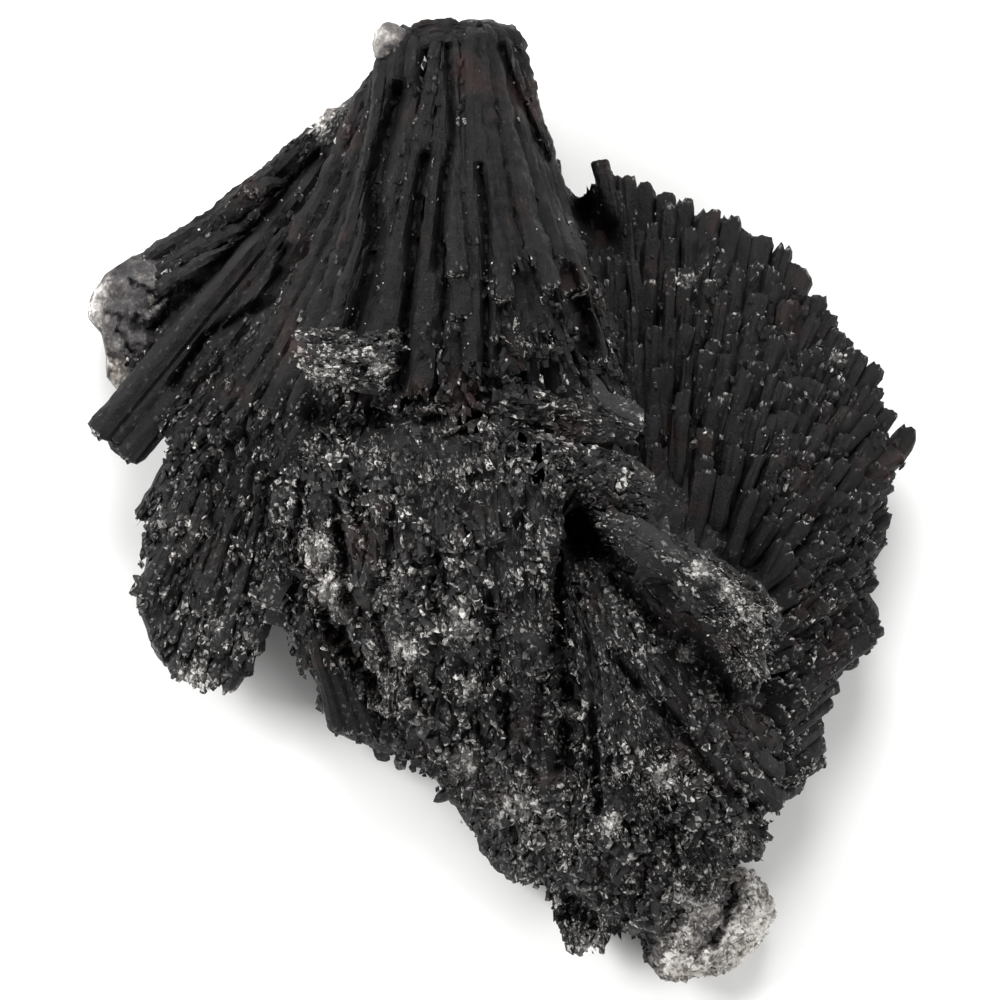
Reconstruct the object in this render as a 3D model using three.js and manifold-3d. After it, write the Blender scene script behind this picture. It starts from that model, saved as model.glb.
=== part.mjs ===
// A black kyanite specimen: fans of flat, striated blades that grew through one another, with two lumps
// of pale mica and quartz matrix still stuck to them. It lies on its broken back, +Z up, origin on the
// floor under its middle. Millimetres.
import * as THREE from "three";
import { mergeVertices } from "three/addons/utils/BufferGeometryUtils.js";
import Module from "manifold-3d";

const wasm = await Module();
wasm.setup();

// ---- Driving dimensions ----
const SEAM = 0.3; // gap between the kyanite and each lump of matrix
const GROOVE = 0.9; // depth of the groove between two blades
const BLADE_LIFT = 0.35; // how far one blade may stand above or below its neighbours
const RIDGE_SHARE = 0.31; // half the width of a blade's flat top, for a blade of 1
const REACH_SWAY = 0.05; // how far one blade may end before or past its neighbours, for a reach of 1
const NOTCH = 1.5; // how far the notch between two blades cuts into the rim

const KYANITE = new THREE.MeshStandardMaterial({ color: 0x2e2c2d, roughness: 0.5, metalness: 0 });
const MATRIX = new THREE.MeshStandardMaterial({ color: 0xb9b3aa, roughness: 0.75, metalness: 0 });

// A fan is a curved sheet: blades start on its roots line and run to its tips line, over its crest line
// where it has one. The lines go from one side of the fan to the other. Each layer of blades reaches a
// share of the way to the tips, and its blades lie some depth under the sheet at their root end and at
// their tip end.

// The long-bladed fan that narrows to the broken handle at the top of the specimen.
const HANDLE_FAN = {
  seed: 11,
  roots: [
    [-18.8, 37.2, 14], [-16.5, 39.5, 17], [-14.2, 41.8, 19], [-12.8, 44, 21], [-12, 46, 22],
    [-10.6, 47.5, 23], [-8.5, 48, 24], [-6.5, 48.2, 25], [-4.5, 48.3, 26], [-2.5, 48.5, 26],
    [-0.5, 48.5, 25], [1, 48.3, 23], [2.2, 47.4, 20],
  ],
  crest: [
    [-28.2, 30.4, 12], [-26, 29.5, 15.5], [-22.8, 24.6, 20], [-20, 23, 24], [-17.5, 22, 27],
    [-15.5, 21, 29], [-13.2, 22, 31], [-10, 28, 31], [-5.8, 28.5, 32], [-1.5, 28.5, 32],
    [2.8, 28.5, 29], [5.4, 32.5, 24], [6.4, 32.5, 18],
  ],
  tips: [
    [-38, 23, 9], [-38.5, 15.5, 11], [-37, 8.5, 13], [-33.5, 3.5, 16], [-30.5, 0, 18], [-26.5, -2, 19],
    [-21.5, 2, 23], [-16, 5.5, 29], [-7.5, 7, 32.5], [0, 8, 33], [7.5, 7.5, 30], [13.5, 6.5, 27],
    [12.5, 15, 20],
  ],
  layers: [
    { count: 11, reach: 0.84, from: 0, rootDepth: 0, tipDepth: 0, thick: 3.5, rows: 2 },
    { count: 11, reach: 1, from: 0.62, rootDepth: 4, tipDepth: 1, thick: 3.5, rows: 1 },
    { count: 5, reach: 0.94, from: 0.03, rootDepth: 3, tipDepth: 3.5, thick: 7, rows: 1 },
    { count: 3, reach: 0.72, from: 0.3, rootDepth: 8, tipDepth: 8, thick: 24, rows: 1 },
  ],
};

// Ribs that lie on the right of the handle fan and break off half way down it.
const UPPER_RIBS = {
  seed: 19,
  roots: [[-5.4, 47.6, 26.4], [-2.5, 48, 26.6], [0, 47.8, 25], [1.6, 46.8, 21.5]],
  crest: [[-5.6, 36, 30.6], [-1.8, 36, 30.6], [1.4, 36, 28.6], [3.8, 36, 24]],
  tips: [[-5, 21.8, 33.4], [0, 20.6, 33.4], [4.6, 23.4, 31], [8.6, 19.8, 26.6]],
  layers: [{ count: 4, reach: 1, from: 0.03, rootDepth: 0, tipDepth: 0, thick: 2.4, rows: 2 }],
};

// The broad blade that stands clear of the handle fan's left side.
const BROAD_BLADE = {
  seed: 13,
  roots: [[-23.6, 26.4, 19.6], [-19.8, 24, 21]],
  tips: [[-41.4, 7.4, 14], [-37.6, 2.8, 13.4]],
  layers: [{ count: 2, reach: 1, from: 0, rootDepth: 0, tipDepth: 0, thick: 5, rows: 1 }],
};

// The rough bundle of blades that hangs under the handle fan's left side.
const LEFT_TAIL = {
  seed: 17,
  roots: [[-26.5, 17, 18], [-23.8, 14, 20], [-21, 10, 21], [-19.5, 7, 21]],
  tips: [
    [-36.5, -1.2, 12.5], [-36, -6, 13], [-36.5, -10, 13], [-35, -13.5, 12], [-32.6, -17.5, 11],
    [-30.5, -19.8, 10], [-27.5, -19, 11], [-25, -16.5, 12], [-23.6, -8.5, 16],
  ],
  layers: [
    { count: 5, reach: 0.7, from: 0.1, rootDepth: -1, tipDepth: -0.4, thick: 3.2, rows: 1 },
    { count: 6, reach: 1, from: 0.2, rootDepth: 3, tipDepth: 0.8, thick: 4.5, rows: 1 },
    { count: 4, reach: 0.88, from: 0.1, rootDepth: 6, tipDepth: 5, thick: 6, rows: 1 },
  ],
};

// The shingled fan at the right, whose blunt tips step down and outwards like roof tiles.
const TILED_FAN = {
  seed: 29,
  bow: 2,
  roots: [
    [10, -4, 24], [14, -6.5, 24], [17, -8, 24], [20, -12, 23], [22.5, -17, 21], [25, -22, 18],
    [26, -27, 15], [27, -31, 12],
  ],
  tips: [
    [7.6, 31, 9], [12, 32.6, 9], [18, 31.4, 9], [24, 30.2, 9], [28.5, 26.5, 9], [32.5, 21.5, 9],
    [35.3, 16.4, 9], [38.6, 12.4, 9], [42.2, 5.6, 9], [38.6, 0.4, 9], [39.4, -3, 9], [37.6, -8.6, 8],
    [39.2, -13, 8], [34.5, -17.5, 8], [32.6, -21, 8], [33, -25.6, 7], [29.8, -30, 7],
  ],
  layers: [
    { count: 8, reach: 0.45, from: 0.2, rootDepth: 1, tipDepth: 0, thick: 3, rows: 1 },
    { count: 9, reach: 0.59, from: 0.5, rootDepth: 7, tipDepth: 0, thick: 3, rows: 1 },
    { count: 11, reach: 0.73, from: 0.58, rootDepth: 9, tipDepth: 0, thick: 3, rows: 1 },
    { count: 13, reach: 0.87, from: 0.68, rootDepth: 11, tipDepth: 0, thick: 3, rows: 1 },
    { count: 15, reach: 1, from: 0.76, rootDepth: 12, tipDepth: 0, thick: 3, rows: 1 },
    { count: 5, reach: 0.84, from: 0.1, rootDepth: 5, tipDepth: 2.5, thick: 24, rows: 1 },
  ],
};

// The thick, crumbling hump below the handle fan, which carries most of the weight.
const HUMP_FAN = {
  seed: 43,
  roots: [
    [-22.4, 3, 20], [-21, 6, 24], [-18, 7.5, 28], [-13, 8, 32], [-7, 8, 35], [-1, 6.5, 37], [4, 4, 38],
    [6.5, 1, 37],
  ],
  crest: [
    [-23, -4, 19], [-18.8, -7.8, 23], [-13.3, -11.2, 27], [-7.7, -14.2, 30], [-2.5, -16.5, 31],
    [2, -19, 31], [4.8, -20, 30], [6, -19, 28],
  ],
  tips: [
    [-22.4, -11.4, 11], [-17.6, -22.4, 9], [-11.8, -25.4, 9], [-6.8, -28.8, 9], [-2.6, -33.6, 9],
    [1, -37.6, 9], [5, -40.4, 9], [8.4, -41.5, 12],
  ],
  layers: [
    { count: 8, reach: 0.54, from: 0, rootDepth: 0, tipDepth: -0.8, thick: 4, rows: 2 },
    { count: 8, reach: 0.77, from: 0.45, rootDepth: 5, tipDepth: -0.4, thick: 4, rows: 1 },
    { count: 9, reach: 1.01, from: 0.6, rootDepth: 8, tipDepth: 0, thick: 4.5, rows: 1 },
    { count: 4, reach: 0.92, from: 0.04, rootDepth: 2.5, tipDepth: 3.5, thick: 34, rows: 2 },
  ],
};

// The lower sheet that comes out from under the hump and ends at the bottom of the specimen.
const SKIRT_FAN = {
  seed: 42,
  roots: [[4, -6, 24], [6.5, -5, 26], [9, -4.5, 28], [11, -5.5, 29], [14, -7, 28]],
  crest: [[4.5, -22, 24], [10, -24, 27], [14, -23.5, 28], [18, -21.5, 27], [22, -16.5, 24]],
  tips: [
    [5, -41.5, 9], [8.5, -44, 9], [13, -43.8, 10], [18, -42.2, 11], [23.4, -38.4, 13],
    [26.8, -34.4, 14], [28.8, -29.4, 14], [27.5, -22, 15],
  ],
  layers: [
    { count: 5, reach: 0.68, from: 0, rootDepth: 0.5, tipDepth: -0.8, thick: 3.6, rows: 2 },
    { count: 8, reach: 1.01, from: 0.52, rootDepth: 6, tipDepth: 0, thick: 4.5, rows: 1 },
    { count: 4, reach: 0.9, from: 0.1, rootDepth: 2.5, tipDepth: 3.5, thick: 30, rows: 1 },
  ],
};

// The two arms that reach out over the tiled fan, the crumbly ledge beside them and the pale flake over
// the hollow.
const LONG_ARM = {
  seed: 53,
  roots: [[8, 0.5, 32], [9.5, -2.5, 33.5], [10.5, -5.5, 31]],
  crest: [[17, -2.5, 32], [18, -6.5, 35], [18.5, -10, 32]],
  tips: [[27.5, -8.5, 26], [29, -13.5, 28], [27.5, -19.5, 28], [23, -20, 26]],
  layers: [
    { count: 3, reach: 0.82, from: 0, rootDepth: 0, tipDepth: 0, thick: 3.2, rows: 2 },
    { count: 4, reach: 1, from: 0.1, rootDepth: 2.2, tipDepth: 0.8, thick: 3.6, rows: 1 },
  ],
};
const SHORT_ARM = {
  seed: 59,
  roots: [[0.5, 12, 31.5], [0, 10, 33], [-0.5, 8, 31.5]],
  tips: [[13.5, 9.2, 28], [14, 7.2, 30], [13, 5.2, 28]],
  layers: [
    { count: 2, reach: 0.9, from: 0, rootDepth: 0, tipDepth: 0, thick: 2.6, rows: 1 },
    { count: 2, reach: 1, from: 0.1, rootDepth: 1.8, tipDepth: 0.8, thick: 3, rows: 1 },
  ],
};
const LEDGE = {
  seed: 61,
  roots: [[-1, 8, 34], [1, 5, 36], [3, 1, 35]],
  tips: [[13, 4.2, 30], [15.5, 1.2, 31.5], [14.5, -2, 30]],
  layers: [
    { count: 3, reach: 0.85, from: 0, rootDepth: 0, tipDepth: 0, thick: 3, rows: 1 },
    { count: 3, reach: 1, from: 0.1, rootDepth: 1.8, tipDepth: 0.8, thick: 3.4, rows: 1 },
  ],
};
const PALE_FLAKE = {
  seed: 67,
  roots: [[-18.5, 17, 30.5], [-14, 17, 32], [-10, 16.5, 32.5]],
  tips: [[-19.5, 12.5, 31.5], [-15, 10, 33], [-10.2, 11.5, 33.5]],
  layers: [{ count: 4, reach: 1, from: 0, rootDepth: 0.4, tipDepth: 0, thick: 1.8, rows: 1 }],
};

const FANS = [
  HANDLE_FAN, UPPER_RIBS, BROAD_BLADE, LEFT_TAIL, TILED_FAN, HUMP_FAN, SKIRT_FAN, LONG_ARM, SHORT_ARM,
  LEDGE, PALE_FLAKE,
];

// The massive middle that the fans grew from, and the two lumps of matrix: centre, radii, roughness and
// faceting.
const MIDDLES = [
  { centre: [-3, 4, 13], radii: [15, 14, 15], rough: 0.08, detail: 1, seed: 71 },
  { centre: [12, -5, 12], radii: [14, 16, 14], rough: 0.08, detail: 1, seed: 73 },
];
const LUMPS = [
  {
    name: "left_matrix_lump",
    centre: [-36.2, 17.6, 7], radii: [5.5, 8, 6.6], rough: 0.1, detail: 2, seed: 79,
  },
  {
    name: "lower_matrix_lump",
    centre: [20, -41.4, 4.6], radii: [6.9, 6.6, 6.2], rough: 0.12, detail: 2, seed: 83,
  },
];

// ---- Layers of blades ----

/** A repeatable number from -1 to 1 for the given whole numbers. */
function sway(...keys) {
  const mixed = keys.reduce((sum, key, i) => sum + key * [127.1, 311.7, 74.7, 269.5][i], 0);
  const wave = Math.sin(mixed) * 43758.5453;
  return 2 * (wave - Math.floor(wave)) - 1;
}

/** The point at share t of the way along a line of equally spaced points, or past its ends. */
function along(points, t) {
  const place = t * (points.length - 1);
  const i = THREE.MathUtils.clamp(Math.floor(place), 0, points.length - 2);
  return new THREE.Vector3(...points[i]).lerp(new THREE.Vector3(...points[i + 1]), place - i);
}

/** The point of a fan's sheet at share t across it and share s of the way from its roots to its tips. */
function sheetPoint(fan, t, s) {
  const root = along(fan.roots, t);
  const tip = along(fan.tips, t);
  if (!fan.crest) {
    const point = root.lerp(tip, s);
    point.z += (fan.bow ?? 0) * 4 * s * (1 - s);
    return point;
  }
  return new THREE.Vector3()
    .addScaledVector(root, (1 - s) * (1 - 2 * s))
    .addScaledVector(along(fan.crest, t), 4 * s * (1 - s))
    .addScaledVector(tip, s * (2 * s - 1));
}

/** One layer of a fan: blades side by side, each with a flat top between two grooves and its own end. */
function layerGeometry(fan, k) {
  const { count, reach, from, rootDepth, tipDepth, thick, rows } = fan.layers[k];
  const middleOf = (i) => (i + 0.5 + 0.18 * sway(i, k, fan.seed)) / count;
  const reachOf = (i) => reach * (1.01 + REACH_SWAY * sway(i, k, fan.seed, 1));
  const liftOf = (i) => BLADE_LIFT * sway(i, k, fan.seed, 2);
  const onward = sheetPoint(fan, 0.5, 1).sub(sheetPoint(fan, 0.5, 0));
  const across = sheetPoint(fan, 1, 0.5).sub(sheetPoint(fan, 0, 0.5));
  const opensLeft = across.cross(onward).z < 0;
  const length = onward.length();
  const columns = 3 * count;
  const geometry = new THREE.BoxGeometry(1, 1, 1, columns, rows, 1);
  const place = geometry.attributes.position;
  for (let v = 0; v < place.count; v++) {
    const fromLeft = Math.round((place.getX(v) + 0.5) * columns);
    const column = opensLeft ? columns - fromLeft : fromLeft;
    const row = Math.round((place.getY(v) + 0.5) * rows);
    const isTop = place.getZ(v) > 0;
    const i = Math.floor(column / 3);
    const side = column % 3;
    let t, end, lift;
    if (side === 0) {
      t = i === 0 ? 0 : i === count ? 1 : (middleOf(i - 1) + middleOf(i)) / 2;
      end = Math.min(reachOf(Math.max(i - 1, 0)), reachOf(Math.min(i, count - 1))) - NOTCH / length;
      lift = -GROOVE;
    } else {
      t = middleOf(i) + (side === 1 ? -RIDGE_SHARE : RIDGE_SHARE) / count;
      end = reachOf(i) * (1 + 0.02 * sway(i, k, fan.seed, 2 + side));
      lift = liftOf(i) + 0.4 * BLADE_LIFT * sway(i, row, fan.seed + k, side);
    }
    const share = row / rows;
    const s = THREE.MathUtils.lerp(from * reach, end, share);
    const point = sheetPoint(fan, t, s);
    const depth = THREE.MathUtils.lerp(rootDepth, tipDepth, s / reach);
    place.setXYZ(v, point.x, point.y, point.z - depth + (isTop ? lift : -thick));
  }
  return geometry;
}

// ---- Solids ----

/** A closed geometry as a manifold-3d solid. */
function solidOf(geometry) {
  const bare = geometry.clone().deleteAttribute("normal").deleteAttribute("uv");
  const merged = mergeVertices(bare, 1e-4);
  return new wasm.Manifold(
    new wasm.Mesh({
      numProp: 3,
      vertProperties: new Float32Array(merged.attributes.position.array),
      triVerts: new Uint32Array(merged.index.array),
    }),
  );
}

/** A manifold-3d solid as a geometry. */
function geometryOf(solid) {
  const mesh = solid.getMesh();
  return new THREE.BufferGeometry()
    .setAttribute("position", new THREE.BufferAttribute(new Float32Array(mesh.vertProperties), 3))
    .setIndex(new THREE.BufferAttribute(new Uint32Array(mesh.triVerts), 1));
}

const joined = (solids) => solids.reduce((sum, solid) => sum.add(solid));

/** The largest body of a solid. */
function largestBody(solid) {
  return solid.decompose().reduce((best, body) => (body.volume() > best.volume() ? body : best));
}

/** A rough, faceted lump, grown on every side by a margin. */
function lumpGeometry({ centre, radii, rough, detail, seed }, margin = 0) {
  const round = new THREE.IcosahedronGeometry(1, detail).deleteAttribute("normal").deleteAttribute("uv");
  const geometry = mergeVertices(round, 1e-4);
  const place = geometry.attributes.position;
  for (let v = 0; v < place.count; v++) {
    const size = 1 + rough * sway(v, seed);
    const stretch = radii.map((radius) => size * radius + margin);
    place.setXYZ(v, place.getX(v) * stretch[0], place.getY(v) * stretch[1], place.getZ(v) * stretch[2]);
  }
  return geometry.translate(...centre);
}

// ---- The specimen ----

const underFloor = solidOf(new THREE.BoxGeometry(200, 200, 60).translate(0, 0, -30));
const fans = FANS.flatMap((fan) => fan.layers.map((layer, k) => solidOf(layerGeometry(fan, k))));
const middles = MIDDLES.map((lump) => solidOf(lumpGeometry(lump)));
const lumpPockets = LUMPS.map((lump) => solidOf(lumpGeometry(lump, SEAM)));
const cluster = joined([...middles, ...fans]).subtract(underFloor).subtract(joined(lumpPockets));

const specimen = new THREE.Group();
const kyanite = new THREE.Mesh(geometryOf(largestBody(cluster)), KYANITE);
kyanite.name = "kyanite_fans";
specimen.add(kyanite);
for (const lump of LUMPS) {
  const matrix = new THREE.Mesh(geometryOf(solidOf(lumpGeometry(lump)).subtract(underFloor)), MATRIX);
  matrix.name = lump.name;
  specimen.add(matrix);
}

export default specimen;
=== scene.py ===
# Black kyanite specimen: fans of black blades grown through one another, with pale mica and quartz on them.
# It lies on its broken back on a white board and is seen from above.
import math
import random

import bmesh
import bpy
import numpy as np
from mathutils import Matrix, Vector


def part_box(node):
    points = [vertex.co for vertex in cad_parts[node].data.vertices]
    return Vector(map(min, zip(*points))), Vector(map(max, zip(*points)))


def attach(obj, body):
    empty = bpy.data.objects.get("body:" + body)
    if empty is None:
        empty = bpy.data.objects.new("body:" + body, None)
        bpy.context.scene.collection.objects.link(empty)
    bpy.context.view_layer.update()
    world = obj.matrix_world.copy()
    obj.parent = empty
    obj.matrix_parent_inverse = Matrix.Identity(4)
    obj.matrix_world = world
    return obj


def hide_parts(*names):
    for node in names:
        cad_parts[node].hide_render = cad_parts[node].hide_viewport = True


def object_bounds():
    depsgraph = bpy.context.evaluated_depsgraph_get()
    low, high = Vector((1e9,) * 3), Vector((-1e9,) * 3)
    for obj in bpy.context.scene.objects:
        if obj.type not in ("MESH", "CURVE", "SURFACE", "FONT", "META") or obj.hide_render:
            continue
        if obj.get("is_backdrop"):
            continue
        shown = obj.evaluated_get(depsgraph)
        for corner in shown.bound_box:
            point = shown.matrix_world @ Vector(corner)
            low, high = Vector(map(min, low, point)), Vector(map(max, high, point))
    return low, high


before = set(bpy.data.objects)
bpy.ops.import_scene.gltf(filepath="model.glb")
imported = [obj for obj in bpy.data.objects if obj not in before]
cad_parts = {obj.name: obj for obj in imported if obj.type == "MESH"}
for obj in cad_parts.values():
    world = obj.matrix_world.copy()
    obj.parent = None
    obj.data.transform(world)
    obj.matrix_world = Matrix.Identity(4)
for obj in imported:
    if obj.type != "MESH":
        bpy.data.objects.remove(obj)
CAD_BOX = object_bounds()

MM = 0.001


# ---- Floor, camera and lights ----
# A plain white board, a camera straight above it and soft lamps that all stand to the side, so that the level
# faces stay dark and only tilted ones shine: a broad lamp beyond the top, one at the left and a weak one at
# the lower right.

CAMERA_HEIGHT = 1.5
FRAME_SIDE = 100 * MM
FRAME_MIDDLE_HEIGHT = 16 * MM
SENSOR_SIDE = 36 * MM
BOARD_SIDE = 3.0
BOARD_WHITE = "#f4f4f3"
SKY_STRENGTH = 0.4
# Each lamp's place and side in metres, and its power in watts.
LAMPS = {
    "top_lamp": ((0.0, 0.75, 0.7), 0.5, 11.5),
    "left_lamp": ((-0.65, 0.25, 0.6), 0.35, 7.5),
    "lower_right_lamp": ((0.6, -0.4, 0.6), 0.5, 4.0),
}


def linear(hex_colour):
    """An sRGB hex colour as linear red, green, blue and alpha."""
    shares = [int(hex_colour[i : i + 2], 16) / 255 for i in (1, 3, 5)]
    return tuple(c / 12.92 if c <= 0.04045 else ((c + 0.055) / 1.055) ** 2.4 for c in shares) + (1.0,)


def new_material(name):
    """A material with no nodes yet."""
    made = bpy.data.materials.new(name)
    made.use_nodes = True
    made.node_tree.nodes.clear()
    return made


def add_node(material, kind, settings=None, inputs=None):
    """Adds a node: its inputs are values, sockets, or other nodes, whose first output then feeds it."""
    made = material.node_tree.nodes.new(kind)
    for name, value in (settings or {}).items():
        setattr(made, name, value)
    for name, value in (inputs or {}).items():
        if isinstance(value, bpy.types.Node):
            value = value.outputs[0]
        if isinstance(value, bpy.types.NodeSocket):
            material.node_tree.links.new(value, made.inputs[name])
        else:
            made.inputs[name].default_value = value
    return made


board_paint = new_material("matt_white_board")
board_shader = add_node(board_paint, "ShaderNodeBsdfPrincipled", inputs={
    "Base Color": linear(BOARD_WHITE), "Roughness": 0.9, "Specular IOR Level": 0.1})
add_node(board_paint, "ShaderNodeOutputMaterial", inputs={"Surface": board_shader})
bpy.ops.mesh.primitive_plane_add(size=BOARD_SIDE, location=(0, 0, 0))
board = bpy.context.object
board.name = "board"
board.data.materials.append(board_paint)
board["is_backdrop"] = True

camera_data = bpy.data.cameras.new("camera")
camera_data.sensor_width = SENSOR_SIDE / MM
camera_data.lens = (CAMERA_HEIGHT - FRAME_MIDDLE_HEIGHT) * (SENSOR_SIDE / MM) / FRAME_SIDE
camera = bpy.data.objects.new("camera", camera_data)
camera.location = (0, 0, CAMERA_HEIGHT)
bpy.context.collection.objects.link(camera)
bpy.context.scene.camera = camera

# Square area lamps, all aimed at the middle of the board.
for name, (place, side, power) in LAMPS.items():
    lamp_data = bpy.data.lights.new(name, "AREA")
    lamp_data.size = side
    lamp_data.energy = power
    lamp = bpy.data.objects.new(name, lamp_data)
    lamp.location = place
    away = np.array(place) / np.linalg.norm(place)
    lamp.rotation_euler = (math.acos(away[2]), 0, math.atan2(away[1], away[0]) + math.pi / 2)
    bpy.context.collection.objects.link(lamp)

sky = bpy.data.worlds.new("studio")
sky.use_nodes = True
sky.node_tree.nodes["Background"].inputs["Color"].default_value = (1, 1, 1, 1)
sky.node_tree.nodes["Background"].inputs["Strength"].default_value = SKY_STRENGTH
bpy.context.scene.world = sky
bpy.context.scene.view_settings.view_transform = "Standard"


# ---- Black kyanite ----
# Kyanite full of graphite: near-black, with the dull, slightly silky shine of a cleavage face. Fine
# lengthwise striations run along each blade, pale specks stand for crumbs of mica and for painted glints,
# denser at the blades' ends as painted light rims, and iron stains some patches brown.

KYANITE_BLACK = "#0d0c0d"
KYANITE_GREY = "#201e1f"
KYANITE_BROWN = "#33221f"
KYANITE_IOR = 1.72
WHOLE_SHINE = 0.115
BROKEN_SHINE = 0.19
GLINT_AND_MICA_WHITE = "#d2cfca"
MICA_GREY = "#7d7b79"
STAIN_SPAN = 9 * MM
ZONE_SPAN = 3.2 * MM
CLOUD_SPAN = 1.8 * MM
UNEVEN_SPAN = 1.1 * MM
GRAIN_SPAN = 0.3 * MM
GRAIN_DEPTH = 0.2 * MM
FACET_DEPTH = 0.3 * MM
# Across, along and up a blade.
STRIA_SIZES = (0.4 * MM, 5 * MM, 0.4 * MM)
CRUMB_SIZES = (0.26 * MM, 0.36 * MM, 0.26 * MM)
PLANE_SIZES = (0.6 * MM, 1.5 * MM, 0.6 * MM)


def add_cells(material, place, sizes, distance):
    """Cells of these sizes along x, y and z, and the height of a flat face in each that leans its own way."""
    spread = add_node(material, "ShaderNodeMapping", inputs={
        "Vector": place, "Scale": [1 / size for size in sizes]})
    cells = add_node(material, "ShaderNodeTexVoronoi", {"distance": distance}, {
        "Vector": spread, "Scale": 1.0})
    lean = add_node(material, "ShaderNodeVectorMath", {"operation": "SUBTRACT"}, {
        0: cells.outputs["Color"], 1: (0.5, 0.5, 0.5)})
    away = add_node(material, "ShaderNodeVectorMath", {"operation": "SUBTRACT"}, {
        0: spread, 1: cells.outputs["Position"]})
    face = add_node(material, "ShaderNodeVectorMath", {"operation": "DOT_PRODUCT"}, {0: lean, 1: away})
    return cells, face.outputs["Value"]


def add_relief(material, layers):
    """Bumps laid over one another, each a height, a strength and a depth, as the shader's normal."""
    relief = {}
    for height, strength, depth in layers:
        relief = {"Normal": add_node(material, "ShaderNodeBump", inputs={
            "Height": height, "Strength": strength, "Distance": depth, **relief})}
    return relief


def make_kyanite(name, shine):
    """Black kyanite of a given shine. It reads from each point its place along a blade (grain), its lightness
    (tone), how near a blade's end it is (tip), its mica and how crumbled it is."""
    made = new_material(name)
    place = add_node(made, "ShaderNodeTexCoord").outputs["Object"]
    grain = add_node(made, "ShaderNodeAttribute", {"attribute_name": "grain"}).outputs["Vector"]
    tone, mica, tip, crumbled = [
        add_node(made, "ShaderNodeAttribute", {"attribute_name": field}).outputs["Fac"]
        for field in ("tone", "mica", "tip", "crumbled")]

    # The mineral itself: black to grey by clouds, striations and grains.
    cloud = add_node(made, "ShaderNodeTexNoise", inputs={
        "Vector": place, "Scale": 1 / CLOUD_SPAN, "Detail": 6.0, "Roughness": 0.7})
    along = add_node(made, "ShaderNodeMapping", inputs={
        "Vector": grain, "Scale": [1 / size for size in STRIA_SIZES]})
    stria = add_node(made, "ShaderNodeTexNoise", inputs={
        "Vector": along, "Scale": 1.0, "Detail": 4.0, "Roughness": 0.6})
    fine = add_node(made, "ShaderNodeTexNoise", inputs={
        "Vector": place, "Scale": 1 / GRAIN_SPAN, "Detail": 4.0, "Roughness": 0.7})
    shade = cloud
    for part in (stria, fine, tone):
        shade = add_node(made, "ShaderNodeMath", {"operation": "ADD"}, {0: shade, 1: part})
    lightness = add_node(made, "ShaderNodeMapRange", inputs={
        "Value": shade, "From Min": 1.2, "From Max": 2.0})
    body = add_node(made, "ShaderNodeMix", {"data_type": "RGBA"}, {
        "Factor": lightness, 6: linear(KYANITE_BLACK), 7: linear(KYANITE_GREY)})

    # Iron stains.
    stain = add_node(made, "ShaderNodeTexNoise", inputs={
        "Vector": place, "Scale": 1 / STAIN_SPAN, "Detail": 4.0, "Roughness": 0.65})
    stain_share = add_node(made, "ShaderNodeMapRange", inputs={
        "Value": stain, "From Min": 0.55, "From Max": 0.7, "To Max": 0.6})
    stained = add_node(made, "ShaderNodeMix", {"data_type": "RGBA"}, {
        "Factor": stain_share, 6: body.outputs[2], 7: linear(KYANITE_BROWN)})

    # How broken the surface is: at the blades' ends and where the piece is crumbled, in zones.
    zone = add_node(made, "ShaderNodeTexNoise", inputs={
        "Vector": place, "Scale": 1 / ZONE_SPAN, "Detail": 3.0, "Roughness": 0.6})
    zone_share = add_node(made, "ShaderNodeMapRange", inputs={
        "Value": zone, "From Min": 0.4, "From Max": 0.6, "To Min": 0.12})
    broken = add_node(made, "ShaderNodeMath", {"operation": "MULTIPLY_ADD", "use_clamp": True}, {
        0: tip, 1: 0.6, 2: crumbled})
    broken = add_node(made, "ShaderNodeMath", {"operation": "MULTIPLY"}, {0: broken, 1: zone_share})

    # The crumbs and the faces of broken crystal.
    uneven = add_node(made, "ShaderNodeTexNoise", inputs={
        "Vector": grain, "Scale": 1 / UNEVEN_SPAN, "Detail": 2.0, "Roughness": 0.6})
    shifted = add_node(made, "ShaderNodeMix", {"data_type": "VECTOR"}, {
        "Factor": 0.0006, 4: grain, 5: uneven.outputs["Color"]})
    crumbs, crumb_face = add_cells(made, shifted.outputs[1], CRUMB_SIZES, "CHEBYCHEV")
    crumb_fade = add_node(made, "ShaderNodeMath", {"operation": "MULTIPLY_ADD", "use_clamp": True}, {
        0: crumbs.outputs["Distance"], 1: -1.25, 2: 1.0})
    crumb_face = add_node(made, "ShaderNodeMath", {"operation": "MULTIPLY"}, {0: crumb_face, 1: crumb_fade})
    crumb_strength = add_node(made, "ShaderNodeMapRange", inputs={"Value": broken, "To Min": 0.2})
    _, plane_face = add_cells(made, grain, PLANE_SIZES, "CHEBYCHEV")

    # Pale specks: real crumbs of mica and painted glints, likelier in its patches, on broken faces and at the
    # blades' ends, where they paint a light rim.
    chance = add_node(made, "ShaderNodeSeparateColor", inputs={"Color": crumbs.outputs["Color"]}).outputs[2]
    for part, weight in ((mica, 0.6), (broken, 0.28), (tip, 0.32)):
        chance = add_node(made, "ShaderNodeMath", {"operation": "MULTIPLY_ADD"}, {
            0: part, 1: weight, 2: chance})
    # The pale speck colour is part mica and part painted highlight: glints and light rims at the blades'
    # ends.
    pale = add_node(made, "ShaderNodeMapRange", inputs={"Value": chance, "From Min": 0.99, "From Max": 1.45})
    pale = add_node(made, "ShaderNodeMath", {"operation": "POWER"}, {0: pale, 1: 1.5})
    speck_breakup = add_node(made, "ShaderNodeMapRange", inputs={
        "Value": fine, "From Min": 0.35, "From Max": 0.6, "To Min": 0.2})
    pale = add_node(made, "ShaderNodeMath", {"operation": "MULTIPLY"}, {0: pale, 1: speck_breakup})

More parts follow.
